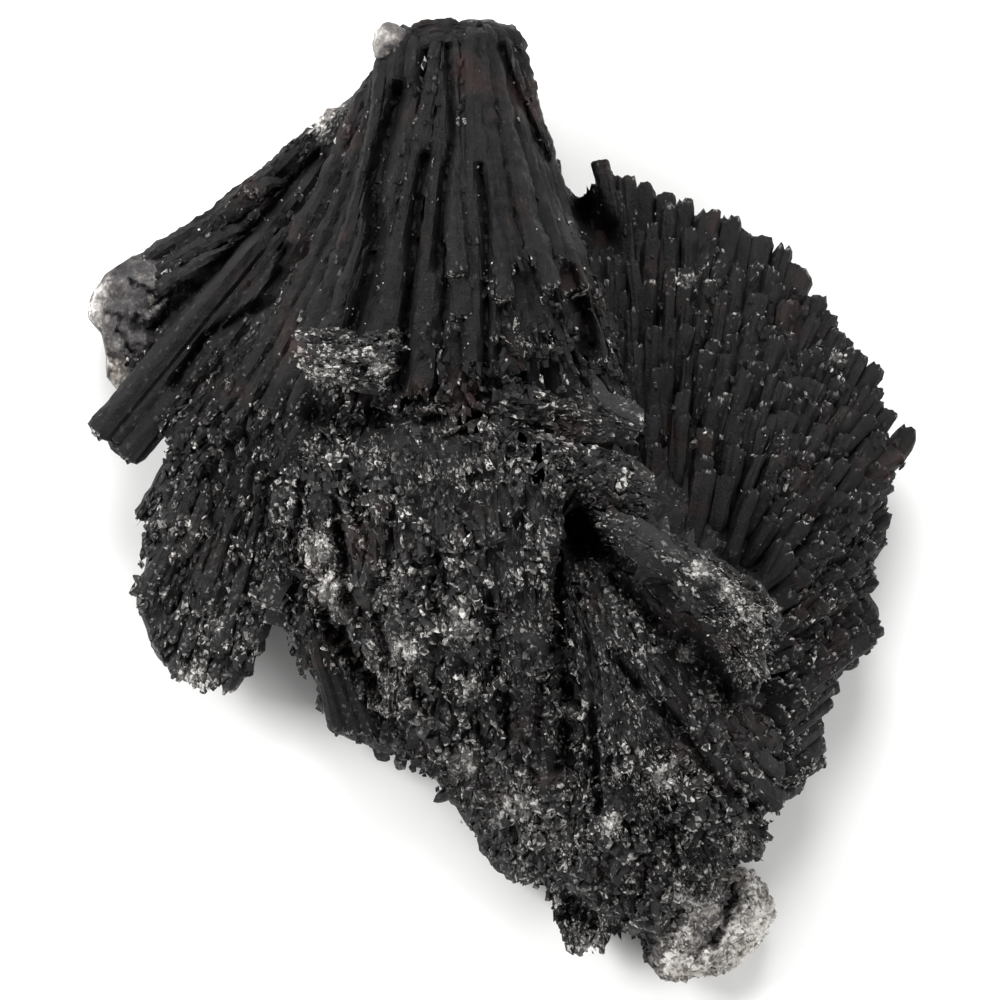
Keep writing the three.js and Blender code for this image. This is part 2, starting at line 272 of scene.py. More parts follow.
    # A ragged grey film over the patches, under the crumbs.
    film = add_node(made, "ShaderNodeMath", {"operation": "ADD"}, {0: cloud, 1: fine})
    film = add_node(made, "ShaderNodeMath", {"operation": "MULTIPLY_ADD"}, {0: film, 1: 1.3, 2: mica})
    film = add_node(made, "ShaderNodeMapRange", inputs={
        "Value": film, "From Min": 1.75, "From Max": 2.15, "To Max": 0.55})
    filmed = add_node(made, "ShaderNodeMix", {"data_type": "RGBA"}, {
        "Factor": film, 6: stained.outputs[2], 7: linear(MICA_GREY)})
    coloured = add_node(made, "ShaderNodeMix", {"data_type": "RGBA"}, {
        "Factor": pale, 6: filmed.outputs[2], 7: linear(GLINT_AND_MICA_WHITE)})

    gloss = add_node(made, "ShaderNodeMapRange", inputs={
        "Value": cloud, "From Min": 0.35, "From Max": 0.65, "To Min": 0.42, "To Max": 0.72})
    relief = add_relief(made, (
        (stria, 0.35, GRAIN_DEPTH), (fine, 1.0, GRAIN_DEPTH), (plane_face, 0.55, FACET_DEPTH),
        (crumb_face, crumb_strength, FACET_DEPTH)))
    shader = add_node(made, "ShaderNodeBsdfPrincipled", inputs={
        "Base Color": coloured.outputs[2], "Roughness": gloss, "IOR": KYANITE_IOR,
        "Specular IOR Level": shine, **relief})
    add_node(made, "ShaderNodeOutputMaterial", inputs={"Surface": shader})
    return made


whole_kyanite = make_kyanite("black_kyanite_blades", WHOLE_SHINE)
broken_kyanite = make_kyanite("crumbled_black_kyanite", BROKEN_SHINE)


# ---- The massive middle ----
# The blades grew from a solid mass that only shows in the gaps, at the back and underneath. It is the
# cluster's own solid, with a broken, granular surface, drawn in a little so that the blades stand out of it.

BODY_GRAIN = 0.85 * MM
SIDE_SINK = 0.7 * MM
TOP_SINK = 1.7 * MM
BOX_SLACK = np.array([1.5, 0.6, 0.0]) * MM
CREVICE_FLOOR = 1.0 * MM
MIDDLE_CRUMBLED = 0.6
MIDDLE_TONE = -0.15
BROKEN_FROM = 0.3
# Behind the tips of the tiled fan it ends on two straight lines: their y at x = 0, and how fast they fall.
RIM_LINES = [(43.4 * MM, 0.66), (51.4 * MM, 1.0)]
RIM_FROM, RIM_TO = 19 * MM, 37 * MM
RIM_LOW_END = 12 * MM


def activate(*pieces):
    """Selects only these objects, the first of them active."""
    bpy.ops.object.select_all(action="DESELECT")
    for piece in pieces:
        piece.select_set(True)
    bpy.context.view_layer.objects.active = pieces[0]


def merged_copy(node, name):
    """A copy of a CAD solid with its loose triangles joined up."""
    copy = bpy.data.objects.new(name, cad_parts[node].data.copy())
    bpy.context.collection.objects.link(copy)
    copy.data.materials.clear()
    activate(copy)
    bpy.ops.object.mode_set(mode="EDIT")
    bpy.ops.mesh.select_all(action="SELECT")
    bpy.ops.mesh.remove_doubles(threshold=0.0001 * MM)
    bpy.ops.object.mode_set(mode="OBJECT")
    return copy


def apply_modifier(piece, kind, **settings):
    """Adds a modifier, sets it and applies it."""
    activate(piece)
    modifier = piece.modifiers.new(kind.lower(), kind)
    for name, value in settings.items():
        setattr(modifier, name, value)
    bpy.ops.object.modifier_apply(modifier=modifier.name)


def roughen(piece, pattern, span, depth):
    """Moves the surface in and out by a noise whose features are a span across."""
    noise = bpy.data.textures.new(pattern.lower(), pattern)
    noise.noise_scale = span
    apply_modifier(piece, "DISPLACE", texture=noise, texture_coords="LOCAL", strength=depth, mid_level=0.5)


def points_of(piece):
    """A piece's vertices as rows of x, y and z."""
    flat = np.empty(3 * len(piece.data.vertices), np.float32)
    piece.data.vertices.foreach_get("co", flat)
    return flat.reshape(-1, 3).astype(float)


def set_points(piece, points):
    """Puts a piece's vertices at new places, within the box of the solid model and a little slack."""
    low, high = np.array(CAD_BOX[0]) - BOX_SLACK, np.array(CAD_BOX[1]) + BOX_SLACK
    piece.data.vertices.foreach_set("co", np.clip(points, low, high).astype(np.float32).ravel())
    piece.data.update()


def set_attribute(piece, name, values):
    """Gives a piece's vertices one number for all, or a number or a vector each, which its material reads."""
    values = np.asarray(values, np.float32)
    if values.ndim == 0:
        values = np.full(len(piece.data.vertices), values)
    kind, field = ("FLOAT_VECTOR", "vector") if values.ndim > 1 else ("FLOAT", "value")
    layer = piece.data.attributes.get(name) or piece.data.attributes.new(name, kind, "POINT")
    layer.data.foreach_set(field, values.ravel())


# The dark crevices that part the blades: x and y along each in millimetres, its half width and how deep it
# cuts.
CREVICES = [
    ([(-18.2, 34.5), (-21.5, 30.5), (-25.5, 26), (-30, 21.5), (-35, 17)], 0.5, 2.4),
    ([(-21.2, 25), (-23, 20), (-29.5, 16), (-32.5, 11.5)], 0.5, 2.2),
    ([(-10, 40.5), (-11.5, 35), (-12.5, 30), (-12.2, 26.5), (-13, 22), (-14.5, 17)], 0.8, 3.4),
    ([(-7.5, 34), (-8.5, 28), (-9, 21), (-9.7, 11)], 0.45, 2.4),
    ([(-5.2, 45), (-4.7, 36), (-5.3, 32), (-6.3, 23)], 0.35, 1.8),
    ([(-2, 33), (-1.3, 28), (-1.5, 12)], 0.35, 2.0),
    ([(0, 45), (1.5, 41), (4.5, 34)], 0.35, 1.6),
    ([(6.5, 22.5), (8.5, 18), (9, 15)], 0.7, 3.4),
    ([(8.4, 28.8), (10.0, 26.6)], 1.6, 6.0),
    ([(-18, 8.5), (-14.5, 7), (-11.5, 7.5)], 1.3, 3.4),
    ([(6.8, -1), (8.5, -5)], 1.5, 5.0),
    ([(5.6, -5.4), (5.4, -11), (5.2, -15.6)], 0.6, 5.0),
    ([(4.2, -17), (3.8, -21), (3.5, -26.6)], 0.45, 3.4),
    ([(5.8, -17.6), (6.7, -19.6)], 0.6, 3.4),
    ([(6.4, -22), (5.6, -26.4)], 0.7, 2.4),
    ([(0.8, -19.2), (0.5, -23)], 0.4, 2.8),
    ([(-17.4, -11.2), (-15.2, -14.6), (-12.4, -18.6)], 0.8, 5.0),
    ([(-19.4, 2), (-20, -3)], 0.4, 1.8),
    ([(-20.6, -3), (-19.9, -7), (-20.4, -9)], 0.4, 1.8),
    ([(-16.2, 0), (-15.5, -5), (-15.1, -10)], 0.5, 3.0),
    ([(-14.6, 1.4), (-14, -2.2)], 0.4, 2.0),
    ([(-10.5, -3), (-11.2, -8)], 0.3, 1.5),
    ([(-12.4, -11.4), (-10.6, -16.8)], 0.35, 1.8),
    ([(-6.2, -5.6), (-6.7, -11.8)], 0.4, 2.0),
    ([(-8.6, -17.6), (-7.1, -20.6)], 0.5, 2.6),
    ([(-0.9, -9.6), (-0.3, -17.2)], 0.4, 2.2),
    ([(-2.6, -20.5), (-1.2, -26.4)], 0.35, 1.8),
    ([(10.8, -7.4), (12.9, -9.6), (17, -13.8)], 0.6, 3.4),
    ([(11.2, -15.4), (15, -20), (17.4, -22)], 0.4, 2.6),
    ([(17.4, -22), (21.4, -28), (25, -30.6)], 0.45, 2.4),
    ([(9.2, -20.8), (9.5, -25.4), (9.8, -31)], 0.4, 2.6),
    ([(14, -27), (16.5, -31), (17.6, -36)], 0.4, 1.6),
    ([(18, -14.2), (20.5, -16.5), (22.6, -19)], 1.4, 5.0),
    ([(6.6, -39.8), (9.4, -42.2)], 0.9, 3.2),
    ([(11.8, -43), (14.4, -44.8)], 0.8, 3.4),
    ([(23.6, -38.4), (23.0, -40.6), (22.4, -43), (19.6, -45.8)], 0.5, 1.6),
    ([(-36.9, 22.2), (-35.7, 21.0), (-34.9, 20.9), (-33.8, 19.9)], 0.22, 1.0),
    ([(-39.6, 18.9), (-38.6, 18.5), (-37.7, 17.6)], 0.2, 0.7),
    ([(-36.6, 18.4), (-36.0, 17.2), (-35.2, 17.3)], 0.4, 1.2),
    ([(-38.2, 17.0), (-37.4, 15.6), (-35.9, 14.4)], 0.2, 0.9),
]


def crevice_depth(points, ragged=0.0):
    """How far each point drops over a crevice, whose edges may be ragged by some millimetres."""
    flat = points[:, :2] / MM
    flat = flat + ragged * (np.sin(2.9 * flat[:, ::-1] + 1.3) + 0.6 * np.sin(7.1 * flat[:, ::-1]))
    depth = np.zeros(len(points))
    for path, half_width, deep in CREVICES:
        for start, end in zip(np.array(path[:-1], float), np.array(path[1:], float)):
            along = end - start
            share = np.clip((flat - start) @ along / (along @ along), 0, 1)
            away = np.linalg.norm(flat - start - share[:, None] * along, axis=1)
            depth = np.maximum(depth, deep * np.exp(-((away / half_width) ** 2)))
    return depth * MM


def carve(piece, ragged=0.0):
    """Cuts the crevices into a piece, never quite down to the floor."""
    points = points_of(piece)
    lowest = np.minimum(points[:, 2], CREVICE_FLOOR)
    points[:, 2] = np.maximum(points[:, 2] - crevice_depth(points, ragged), lowest)
    set_points(piece, points)


# Where pale mica coats the blades: x, y and radius in millimetres, and how thick it lies.
MICA_PATCHES = [
    (-18.2, -4.7, 1.7, 1.0), (-17.0, -8.9, 1.7, 0.9), (-9.5, -14.8, 1.8, 0.75), (-4.0, -12.2, 2.3, 0.65),
    (-3.8, -18.6, 1.1, 0.8), (-10.7, -8.0, 1.2, 0.5), (-7.1, 2.5, 1.1, 0.4), (-3.4, 2.8, 1.1, 0.4),
    (-16.0, 5.2, 1.3, 0.4), (-13.1, 3.8, 1.0, 0.4), (-3.4, -26.2, 1.8, 0.9), (1.6, -30.4, 1.5, 0.95),
    (6.9, -21.3, 1.1, 0.7), (11.2, -32.2, 1.2, 0.9), (16.0, -28.0, 2.4, 0.6), (18.4, -15.3, 1.0, 0.8),
    (-12.0, -19.0, 3.4, 0.4), (5.0, -33.0, 4.0, 0.35), (18.7, -40.4, 3.0, 0.6), (24.0, -34.2, 1.0, 0.9),
    (19.7, -6.8, 1.2, 0.9), (22.6, -9.2, 1.3, 0.75), (25.2, -11.4, 1.4, 0.7), (-17.0, 12.6, 1.9, 0.7),
    (-11.8, 13.2, 1.2, 0.8), (-14.4, 14.5, 1.5, 0.5), (-30.8, -17.5, 1.8, 0.7), (-29.0, -13.0, 2.4, 0.35),
    (18.0, 22.0, 1.3, 0.6), (21.4, 23.4, 1.1, 0.6), (19.6, 22.5, 0.8, 0.5), (33.8, 14.3, 1.0, 0.8),
    (-11.2, 46.2, 1.4, 1.0), (-18.0, 37.3, 1.3, 0.8), (-15.6, 39.2, 1.0, 0.6), (8.8, -44.4, 2.4, 0.6),
    (22.8, -15.6, 2.4, 0.2), (26.4, -16.6, 2.4, 0.25), (-40.8, 6.0, 0.8, 0.6), (-4.5, 22.0, 1.2, 0.3),
    (0.0, 21.0, 1.2, 0.4), (9.0, 19.5, 1.2, 0.3), (2.0, 16.0, 1.5, 0.3),
]


def spots_at(points, spots):
    """How strongly each point lies in any of the spots, from 0 to 1."""
    total = np.zeros(len(points))
    for x, y, radius, strength in spots:
        away = np.hypot(points[:, 0] / MM - x, points[:, 1] / MM - y) / radius
        total += strength * np.exp(-(away**2))
    return np.clip(total, 0, 1)


def lower_side(points, start, softness):
    """How far each point lies on the lower side, from 0 to 1: start and softness are in millimetres."""
    x, y, _ = points.T / MM
    return 1 / (1 + np.exp((y + 0.6 * x - start) / softness))


def mica_at(points):
    """How much mica lies at each point, from 0 to 1."""
    return np.clip(0.12 * lower_side(points, 6, 3) + spots_at(points, MICA_PATCHES), 0, 1)


def dress(piece, crumbled):
    """Gives a piece of kyanite its material, mica and body, and lets it stand for the cluster's solid."""
    piece.data.materials.clear()
    piece.data.materials.append(whole_kyanite if crumbled < BROKEN_FROM else broken_kyanite)
    set_attribute(piece, "mica", mica_at(points_of(piece)))
    set_attribute(piece, "crumbled", crumbled)
    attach(piece, "root")
    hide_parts("kyanite_fans")


middle = merged_copy("kyanite_fans", "massive_middle")
apply_modifier(middle, "REMESH", mode="VOXEL", voxel_size=BODY_GRAIN, adaptivity=0.0)
places = points_of(middle)
x, y, z = places.T
rim = np.min([start - fall * x for start, fall in RIM_LINES], axis=0)
behind = (x > RIM_FROM) & (x < RIM_TO) & (y > np.maximum(rim, RIM_LOW_END))
places[behind, 1] = rim[behind]
facing = np.empty(3 * len(places), np.float32)
middle.data.vertices.foreach_get("normal", facing)
facing = facing.reshape(-1, 3)
crumbled = lower_side(places, 6, 2) * (x < 24 * MM)
top_sink = np.clip(facing[:, 2], 0, 1) * (1 - 0.8 * crumbled) * np.clip(z / (10 * MM) - 0.9, 0.1, 1)
set_points(middle, places - facing * (SIDE_SINK + TOP_SINK * top_sink)[:, None])
apply_modifier(middle, "SMOOTH", factor=0.5, iterations=4)
roughen(middle, "CLOUDS", 3.0 * MM, 1.2 * MM)
roughen(middle, "VORONOI", 1.6 * MM, 0.8 * MM)
rough_places = points_of(middle)
rough_places[z < 0.5 * BODY_GRAIN, 2] = 0
set_points(middle, rough_places)
set_attribute(middle, "grain", rough_places)
set_attribute(middle, "tone", MIDDLE_TONE)
carve(middle)
dress(middle, MIDDLE_CRUMBLED)


# ---- Blade shapes ----
# A blade is a long flat crystal: a nearly level top with a few lengthwise ridges, straight sides and a blunt
# or ragged end. A chip is a broken piece of one. Each shape is modelled once and every blade and chip is a
# copy of its own that is stretched, bent and laid in its place.

BLADE_FOOT = -1.0
CROWN_DROP = 0.3
TIP_DROP = 0.1


def pick_points(piece, wanted):
    """In edit mode, selects the points whose place passes a test."""
    shape = bmesh.from_edit_mesh(piece.data)
    for point in shape.verts:
        point.select = bool(wanted(point.co))
    shape.select_flush_mode()
    bmesh.update_edit_mesh(piece.data)


def blade_shape(name, columns, rows, ridge, tip_share, tip_width, ragged, seed):
    """Models one blade from a grid, with ridges along it and last rows that narrow to a ragged tip."""
    draw = random.Random(seed)
    bpy.ops.object.select_all(action="DESELECT")
    bpy.ops.mesh.primitive_grid_add(x_subdivisions=columns, y_subdivisions=rows, size=1, location=(0, 0.5, 0))
    shape = bpy.context.object
    shape.name = name
    bpy.ops.object.transform_apply(location=True)
    bpy.ops.object.mode_set(mode="EDIT")
    for column in range(columns + 1):
        x = column / columns - 0.5
        height = draw.uniform(-ridge, ridge) - CROWN_DROP * abs(2 * x) ** 3
        pick_points(shape, lambda co: abs(co.x - x) < 0.5 / columns)
        bpy.ops.transform.translate(value=(0, 0, height))
        pick_points(shape, lambda co: abs(co.x - x) < 0.5 / columns and co.y > 1 - 0.5 / rows)
        bpy.ops.transform.translate(value=(0, -ragged * draw.random(), 0))
    for row in range(rows + 1):
        y = row / rows
        past = (y - 1 + tip_share) / tip_share
        if past <= 0:
            continue
        narrow = tip_width + (1 - tip_width) * math.sqrt(max(0.0, 1 - past**2))
        below = 0.5 / rows if row < rows else ragged + 0.0001
        pick_points(shape, lambda co: -below < co.y - y < 0.5 / rows)
        bpy.ops.transform.resize(value=(narrow, 1, 1), center_override=(0, y, 0))
        bpy.ops.transform.translate(value=(0, 0, -TIP_DROP * past**2))
    bpy.ops.mesh.select_all(action="SELECT")
    bpy.ops.mesh.extrude_region_move(TRANSFORM_OT_translate={"value": (0, 0, BLADE_FOOT)})
    bpy.ops.transform.resize(value=(1, 1, 0), center_override=(0, 0.5, BLADE_FOOT))
    bpy.ops.mesh.dissolve_faces()
    bpy.ops.mesh.select_all(action="SELECT")
    bpy.ops.mesh.normals_make_consistent(inside=False)
    # Extruding leaves the side faces in an order that changes from run to run, and flakes are drawn by it.
    bpy.ops.mesh.sort_elements(type="CURSOR_DISTANCE", elements={"FACE"})
    bpy.ops.object.mode_set(mode="OBJECT")
    bpy.context.collection.objects.unlink(shape)
    return shape


def chip_shape(name, sides, lean):
    """Models one broken chip: a short prism lying along y, cut off slantwise at both ends."""
    bpy.ops.object.select_all(action="DESELECT")
    bpy.ops.mesh.primitive_cylinder_add(vertices=sides, radius=0.5, depth=1.6, rotation=(math.pi / 2, 0, 0))
    shape = bpy.context.object
    shape.name = name
    bpy.ops.object.transform_apply(location=True, rotation=True)
    bpy.ops.object.mode_set(mode="EDIT")
    for end in (-1, 1):
        bpy.ops.mesh.select_all(action="SELECT")
        bpy.ops.mesh.bisect(plane_co=(0, 0.5 * end, 0), plane_no=(lean * end, end, 0.5 - lean), use_fill=True,
                            clear_outer=True)
    bpy.ops.mesh.select_all(action="SELECT")
    bpy.ops.mesh.quads_convert_to_tris()
    bpy.ops.mesh.normals_make_consistent(inside=False)
    bpy.ops.object.mode_set(mode="OBJECT")
    bpy.context.collection.objects.unlink(shape)
    return shape


RIB_SHAPES = [blade_shape(f"rib_{k}", 8, 92, 0.045, 0.03, 0.6, 0.012, seed=10 + k) for k in range(5)]
TILE_SHAPES = [blade_shape(f"tile_{k}", 6, 9, 0.08, 0.1, 0.88, 0.06, seed=20 + k) for k in range(6)]
TONGUE_SHAPES = [blade_shape(f"tongue_{k}", 6, 9, 0.1, 0.2, 0.55, 0.08, seed=40 + k) for k in range(5)]
BLOCK_SHAPES = [blade_shape(f"block_{k}", 9, 12, 0.14, 0.25, 0.6, 0.1, seed=60 + k) for k in range(5)]
CHIP_SHAPES = [
    chip_shape("chip_five", 5, 0.35), chip_shape("chip_four", 4, 0.6), chip_shape("chip_six", 6, 0.1)]
BLADE_POINTS = {
    shape.name: points_of(shape) for shape in RIB_SHAPES + TILE_SHAPES + TONGUE_SHAPES + BLOCK_SHAPES}


# ---- How a fan lies ----
# A fan is a curved sheet between a roots line and a tips line, over a crest line or bowed up where it says
# so. Its blades follow the sheet from root to tip, and its chips lie along them. A place in it is two shares:
# t across it and s along it. Where a fan has a first share, no blade starts nearer the roots.

ROOT_BEND = 1.8
ROOT_BEND_LENGTH = 2.2
TIP_LENGTH = 0.9
SMOOTH_TURN = math.radians(32)


def line_at(line, t):
    """The point at share t of the way along a line of equally spaced points."""
    points = np.array(line, float)
    place = np.clip(t, 0, 1) * (len(points) - 1)
    i = np.minimum(np.floor(place).astype(int), len(points) - 2)
    share = (place - i)[..., None]
    return points[i] * (1 - share) + points[i + 1] * share


def sheet_at(fan, t, s):
    """The points of a fan's sheet, in millimetres, at shares t across it and s from its roots to its tips."""
    root = line_at(fan["roots"], t)
    tip = line_at(fan["tips"], t)
    s = s[..., None]
    if "crest" not in fan:
        rise = np.array([0, 0, fan.get("bow", 0)]) * 4 * s * (1 - s)
        return root * (1 - s) + tip * s + rise
    crest = line_at(fan["crest"], t)
    return root * (1 - s) * (1 - 2 * s) + crest * 4 * s * (1 - s) + tip * s * (2 * s - 1)


def unit(vectors):
    """The vectors at length 1."""
    return vectors / np.maximum(np.linalg.norm(vectors, axis=-1, keepdims=True), 1e-9)


def frame_at(fan, t, s):
    """A sheet's points, its directions across, onward and out, and its whole width there in millimetres."""
    step = 0.01
    t = np.append(np.clip(t, 0.02, 0.98), 0.5)  # the last is the middle of the sheet, which faces up
    s = np.append(s, 0.5)
    onward = unit(sheet_at(fan, t, s + step) - sheet_at(fan, t, s - step))
    across = sheet_at(fan, t + step, s) - sheet_at(fan, t - step, s)
    breadth = np.linalg.norm(across, axis=1) / (2 * step)
    across = unit(across - onward * (across * onward).sum(1, keepdims=True))
    outward = np.cross(across, onward)
    side = np.sign(outward[-1, 2])
    return sheet_at(fan, t, s)[:-1], across[:-1] * side, onward[:-1], outward[:-1] * side, breadth[:-1]


def turned(first, second, angle):
    """Two square directions turned towards each other by an angle."""
    return first * np.cos(angle) + second * np.sin(angle), second * np.cos(angle) - first * np.sin(angle)


def scattered(name, shape, places, axes, sizes):
    """One piece with a copy of a shape at each place, along its axes and at its sizes."""
    points = points_of(shape)
    spread = (points[None] * sizes[:, None]) @ axes + places[:, None]
    faces = [list(face.vertices) for face in shape.data.polygons]
    every = [[corner + len(points) * k for corner in face] for k in range(len(places)) for face in faces]
    mesh = bpy.data.meshes.new(name)
    mesh.from_pydata(spread.reshape(-1, 3).tolist(), [], every)
    piece = bpy.data.objects.new(name, mesh)
    bpy.context.collection.objects.link(piece)
    return piece


class Blades:
    """The blades and chips laid so far of one piece, each a copy of a shape with a mesh of its own.

    Sizes are in millimetres. What lay takes may be a number, or two limits to draw it between, and its shape
    may be drawn from a list.
    """

    def __init__(self, name, seed, shades=(-0.25, 0.1)):
        self.name = name
        self.shades = shades
        self.draw = random.Random(seed)
        self.many = np.random.default_rng(seed)
        self.copies = []

    def pick(self, value):
        """A value as it is, a shape drawn from a list of them, or a number drawn between two limits."""
        if isinstance(value, list):
            return self.draw.choice(value)
        return self.draw.uniform(*value) if isinstance(value, tuple) else value

    def spaced(self, count, stray):
        """Shares spaced evenly across a fan, each moved at random by up to a stray share of its space."""
        for i in range(count):
            yield (i + 0.5 + self.draw.uniform(-stray, stray)) / count

    def lay(self, shape, fan, t, start, end, width, thick, depth=(0.0, 0.0), roll=0.0, swing=0.0, tone=None,
            spread=0.0):
        """Lays one blade along a fan's sheet from start to end, at each a depth under the sheet."""
        shape, t, start, end, width = [self.pick(value) for value in (shape, t, start, end, width)]
        root_depth, tip_depth, roll, swing, tone = [self.pick(value) for value in (*depth, roll, swing, tone)]
        start = max(start, fan.get("first", 0.0))
        x, y, z = BLADE_POINTS[shape.name].T
        s = start + (end - start) * y
        middle, across, onward, upward, breadth = frame_at(fan, t + swing * (y - 0.5), s)
        across, upward = turned(across, upward, roll)
        length = np.linalg.norm(middle[y > 0.9].mean(0) - middle[y < 0.1].mean(0))
        wide = width * (0.85 + 0.15 * y) * (breadth / np.median(breadth)) ** spread
        bend = ROOT_BEND * np.clip(1 - y * length / ROOT_BEND_LENGTH, 0, 1) ** 2
        sunk = root_depth + (tip_depth - root_depth) * y + bend
        height = np.where(z <= BLADE_FOOT, -thick, z * width) - sunk
        copy = bpy.data.objects.new(self.name, shape.data.copy())
        bpy.context.collection.objects.link(copy)
        set_points(copy, (middle + across * (x * wide)[:, None] + upward * height[:, None]) * MM)
        shift = [self.draw.uniform(0, 100) for _ in range(3)]
        grain = np.stack([x * width + shift[0], y * length + shift[1], height + shift[2]], 1)
        set_attribute(copy, "grain", grain * MM)
        set_attribute(copy, "tone", self.pick(self.shades) if tone is None else tone)
        # Near its end the material crumbles a blade and paints it paler there, a painted light rim.
        set_attribute(copy, "tip", np.clip(1 - (1 - y) * length / TIP_LENGTH, 0, 1))
        self.copies.append(copy)

    def rows(self, fan, shapes, rows, first, count, length, width, thick, stand, leaning=0.35,
             start_depth=1.6):
        """Lays rows of blades over a fan, each row's tips over the starts of the next."""
        for row in range(rows):
            reach = first + (1 - first) * row / (rows - 1)
            for t in self.spaced(max(3, round(count * (0.55 + 0.45 * reach))), 0.4):
                end = min(1.02, reach + self.draw.uniform(-0.6, 0.6) * (1 - first) / rows)
                self.lay(shapes, fan, t, (end - length[0], end - length[1]), end, width, thick,
                         (start_depth, stand), (-leaning, leaning), (-0.02, 0.02), spread=0.5)

    def strew(self, fan, t, s, width, length, stand, lean=0.7, stray=0.3):
        """Strews broken chips at shares t and s: limits of width, length and height over the sheet."""
        many = self.many
        for k, shape in enumerate(CHIP_SHAPES):
            t_here, s_here = t[k :: len(CHIP_SHAPES)], s[k :: len(CHIP_SHAPES)]
            count = len(t_here)
            places, across, onward, upward, _ = frame_at(fan, t_here, s_here)
            places = places + upward * many.uniform(*stand, (count, 1))
            across, upward = turned(across, upward, many.normal(0, lean, (count, 1)))
            across, onward = turned(across, onward, many.normal(0, stray, (count, 1)))
            wide = many.uniform(*width, count)
            sizes = np.stack([wide, many.uniform(*length, count), wide * many.uniform(0.6, 1.1, count)], 1)
            axes = np.stack([across, onward, upward], 1)
            batch = scattered(self.name, shape, places * MM, axes, sizes * MM)
            points = points_of(shape)
            grain = points[None] * sizes[:, None] + many.uniform(0, 100, (count, 1, 3))
            set_attribute(batch, "grain", grain * MM)
            set_attribute(batch, "tone", np.repeat(many.normal(0.02, 0.2, count), len(points)))
            set_attribute(batch, "tip", np.repeat(many.uniform(0, 1, count) ** 2, len(points)))
            self.copies.append(batch)

    def strew_near(self, fan, t, s, count, spread, width, length, stand):
        """Strews chips about one place of a fan, such as a broken end, with a spread across and along it."""
        t = t + self.many.normal(0, spread[0], count)
        s = s + self.many.normal(0, spread[1], count)
        self.strew(fan, t, s, width, length, stand)

    def strew_over(self, fan, count, first, width, length, stand, lean=0.7, stray=0.3, edge=0.02, last=0.985):
        """Strews chips at random over a fan, between two shares of the way to its tips."""
        t = self.many.uniform(edge, 1 - edge, count)
        s = self.many.uniform(first, last, count)
        self.strew(fan, t, s, width, length, stand, lean, stray)

    def finish(self, coarse, fine, lumps=0.0, crumbled=0.2):
        """Joins all blades and chips, makes them uneven as broken crystal is, and dresses them."""
        activate(*self.copies)
        bpy.ops.object.join()
        piece = self.copies[0]
        piece.name = self.name
        piece.data.name = self.name
        roughen(piece, "CLOUDS", 2.6 * MM, coarse * MM)
        roughen(piece, "CLOUDS", 0.7 * MM, fine * MM)
        if lumps:
            roughen(piece, "CLOUDS", 6.0 * MM, 2.0 * lumps * MM)
            roughen(piece, "VORONOI", 1.3 * MM, lumps * MM)
        carve(piece)
        activate(piece)
        bpy.ops.object.shade_smooth_by_angle(angle=SMOOTH_TURN)
        dress(piece, crumbled)
        return piece


# ---- The handle fan ----
# Broad striated ribs with dark gaps between them, that narrow to a blunt broken handle at the top and spread
# downwards. Some break off half way in a crumbling end, and more ribs show between and under them.

HANDLE_FAN = {
    "roots": [
        (-18.8, 37.2, 14), (-16.5, 39.5, 17), (-14.2, 41.8, 19), (-12.8, 44, 21), (-12, 46, 22),
        (-10.6, 47.5, 23),
        (-8.5, 48, 24), (-6.5, 48.2, 25), (-4.5, 48.3, 26), (-2.5, 48.5, 26), (-0.5, 48.5, 25), (1, 48.3, 23),
        (2.2, 47.4, 20)],
    "crest": [
        (-28.2, 30.4, 12), (-26, 29.5, 15.5), (-22.8, 24.6, 20), (-20, 23, 24), (-17.5, 22, 27),
        (-15.5, 21, 29),
        (-13.2, 22, 31), (-10, 28, 31), (-5.8, 28.5, 32), (-1.5, 28.5, 32), (2.8, 28.5, 29), (5.4, 32.5, 24),
        (6.4, 32.5, 18)],
    "tips": [
        (-38, 23, 9), (-38.5, 15.5, 11), (-37, 8.5, 13), (-33.5, 3.5, 16), (-30.5, 0, 18), (-26.5, -2, 19),
        (-21.5, 2, 23), (-16, 5.5, 29), (-7.5, 7, 32.5), (0, 8, 33), (7.5, 7.5, 30), (13.5, 6.5, 27),
        (12.5, 15, 20)],
}
UPPER_RIBS = {
    "roots": [(-5.4, 47.6, 26.4), (-2.5, 48, 26.6), (0, 47.8, 25), (1.6, 46.8, 21.5)],
    "crest": [(-5.6, 36, 30.6), (-1.8, 36, 30.6), (1.4, 36, 28.6), (3.8, 36, 24)],
    "tips": [(-5, 21.8, 33.4), (0, 20.6, 33.4), (4.6, 23.4, 31), (8.6, 19.8, 26.6)],
}
EDGE_LOBE = {
    "roots": [(-25.0, 31.0, 12), (-23.6, 26.2, 17)],
    "crest": [(-31.8, 28.3, 11.5), (-29.6, 23.4, 16)],
    "tips": [(-36.4, 25.0, 9), (-35.0, 20.2, 13)],
}
HANDLE_EDGE = {
    "roots": [(-10.6, 46.8, 21.5), (-9.0, 45.2, 24)],
    "crest": [(-14.4, 41.6, 18.5), (-13.0, 40.0, 22.5)],
    "tips": [(-20.4, 35.6, 13), (-18.8, 33.6, 17.5)],
}
HANDLE_TOP = {
    "roots": [(-10.4, 47.0, 22.5), (-9.6, 45.2, 24.6)],
    "crest": [(-3.6, 47.9, 25), (-3.4, 46.0, 26.8)],
    "tips": [(1.9, 46.0, 20.5), (1.2, 43.4, 24)],
}

RIB_COUNT = 13
# How far across the fan a rib breaks off early, and how far along.
BROKEN_RIBS = ((0.3, 0.86), (0.42, 0.78), (0.52, 0.9), (0.6, 0.83), (0.71, 0.76), (0.82, 0.8), (0.9, 0.88))
# The same for the upper ribs, with the height at which each broken end stands.
UPPER_ENDS = ((0.06, 0.99, 1.3), (0.36, 1.04, 1.0), (0.66, 1.1, 0.9), (0.95, 1.0, 1.1))

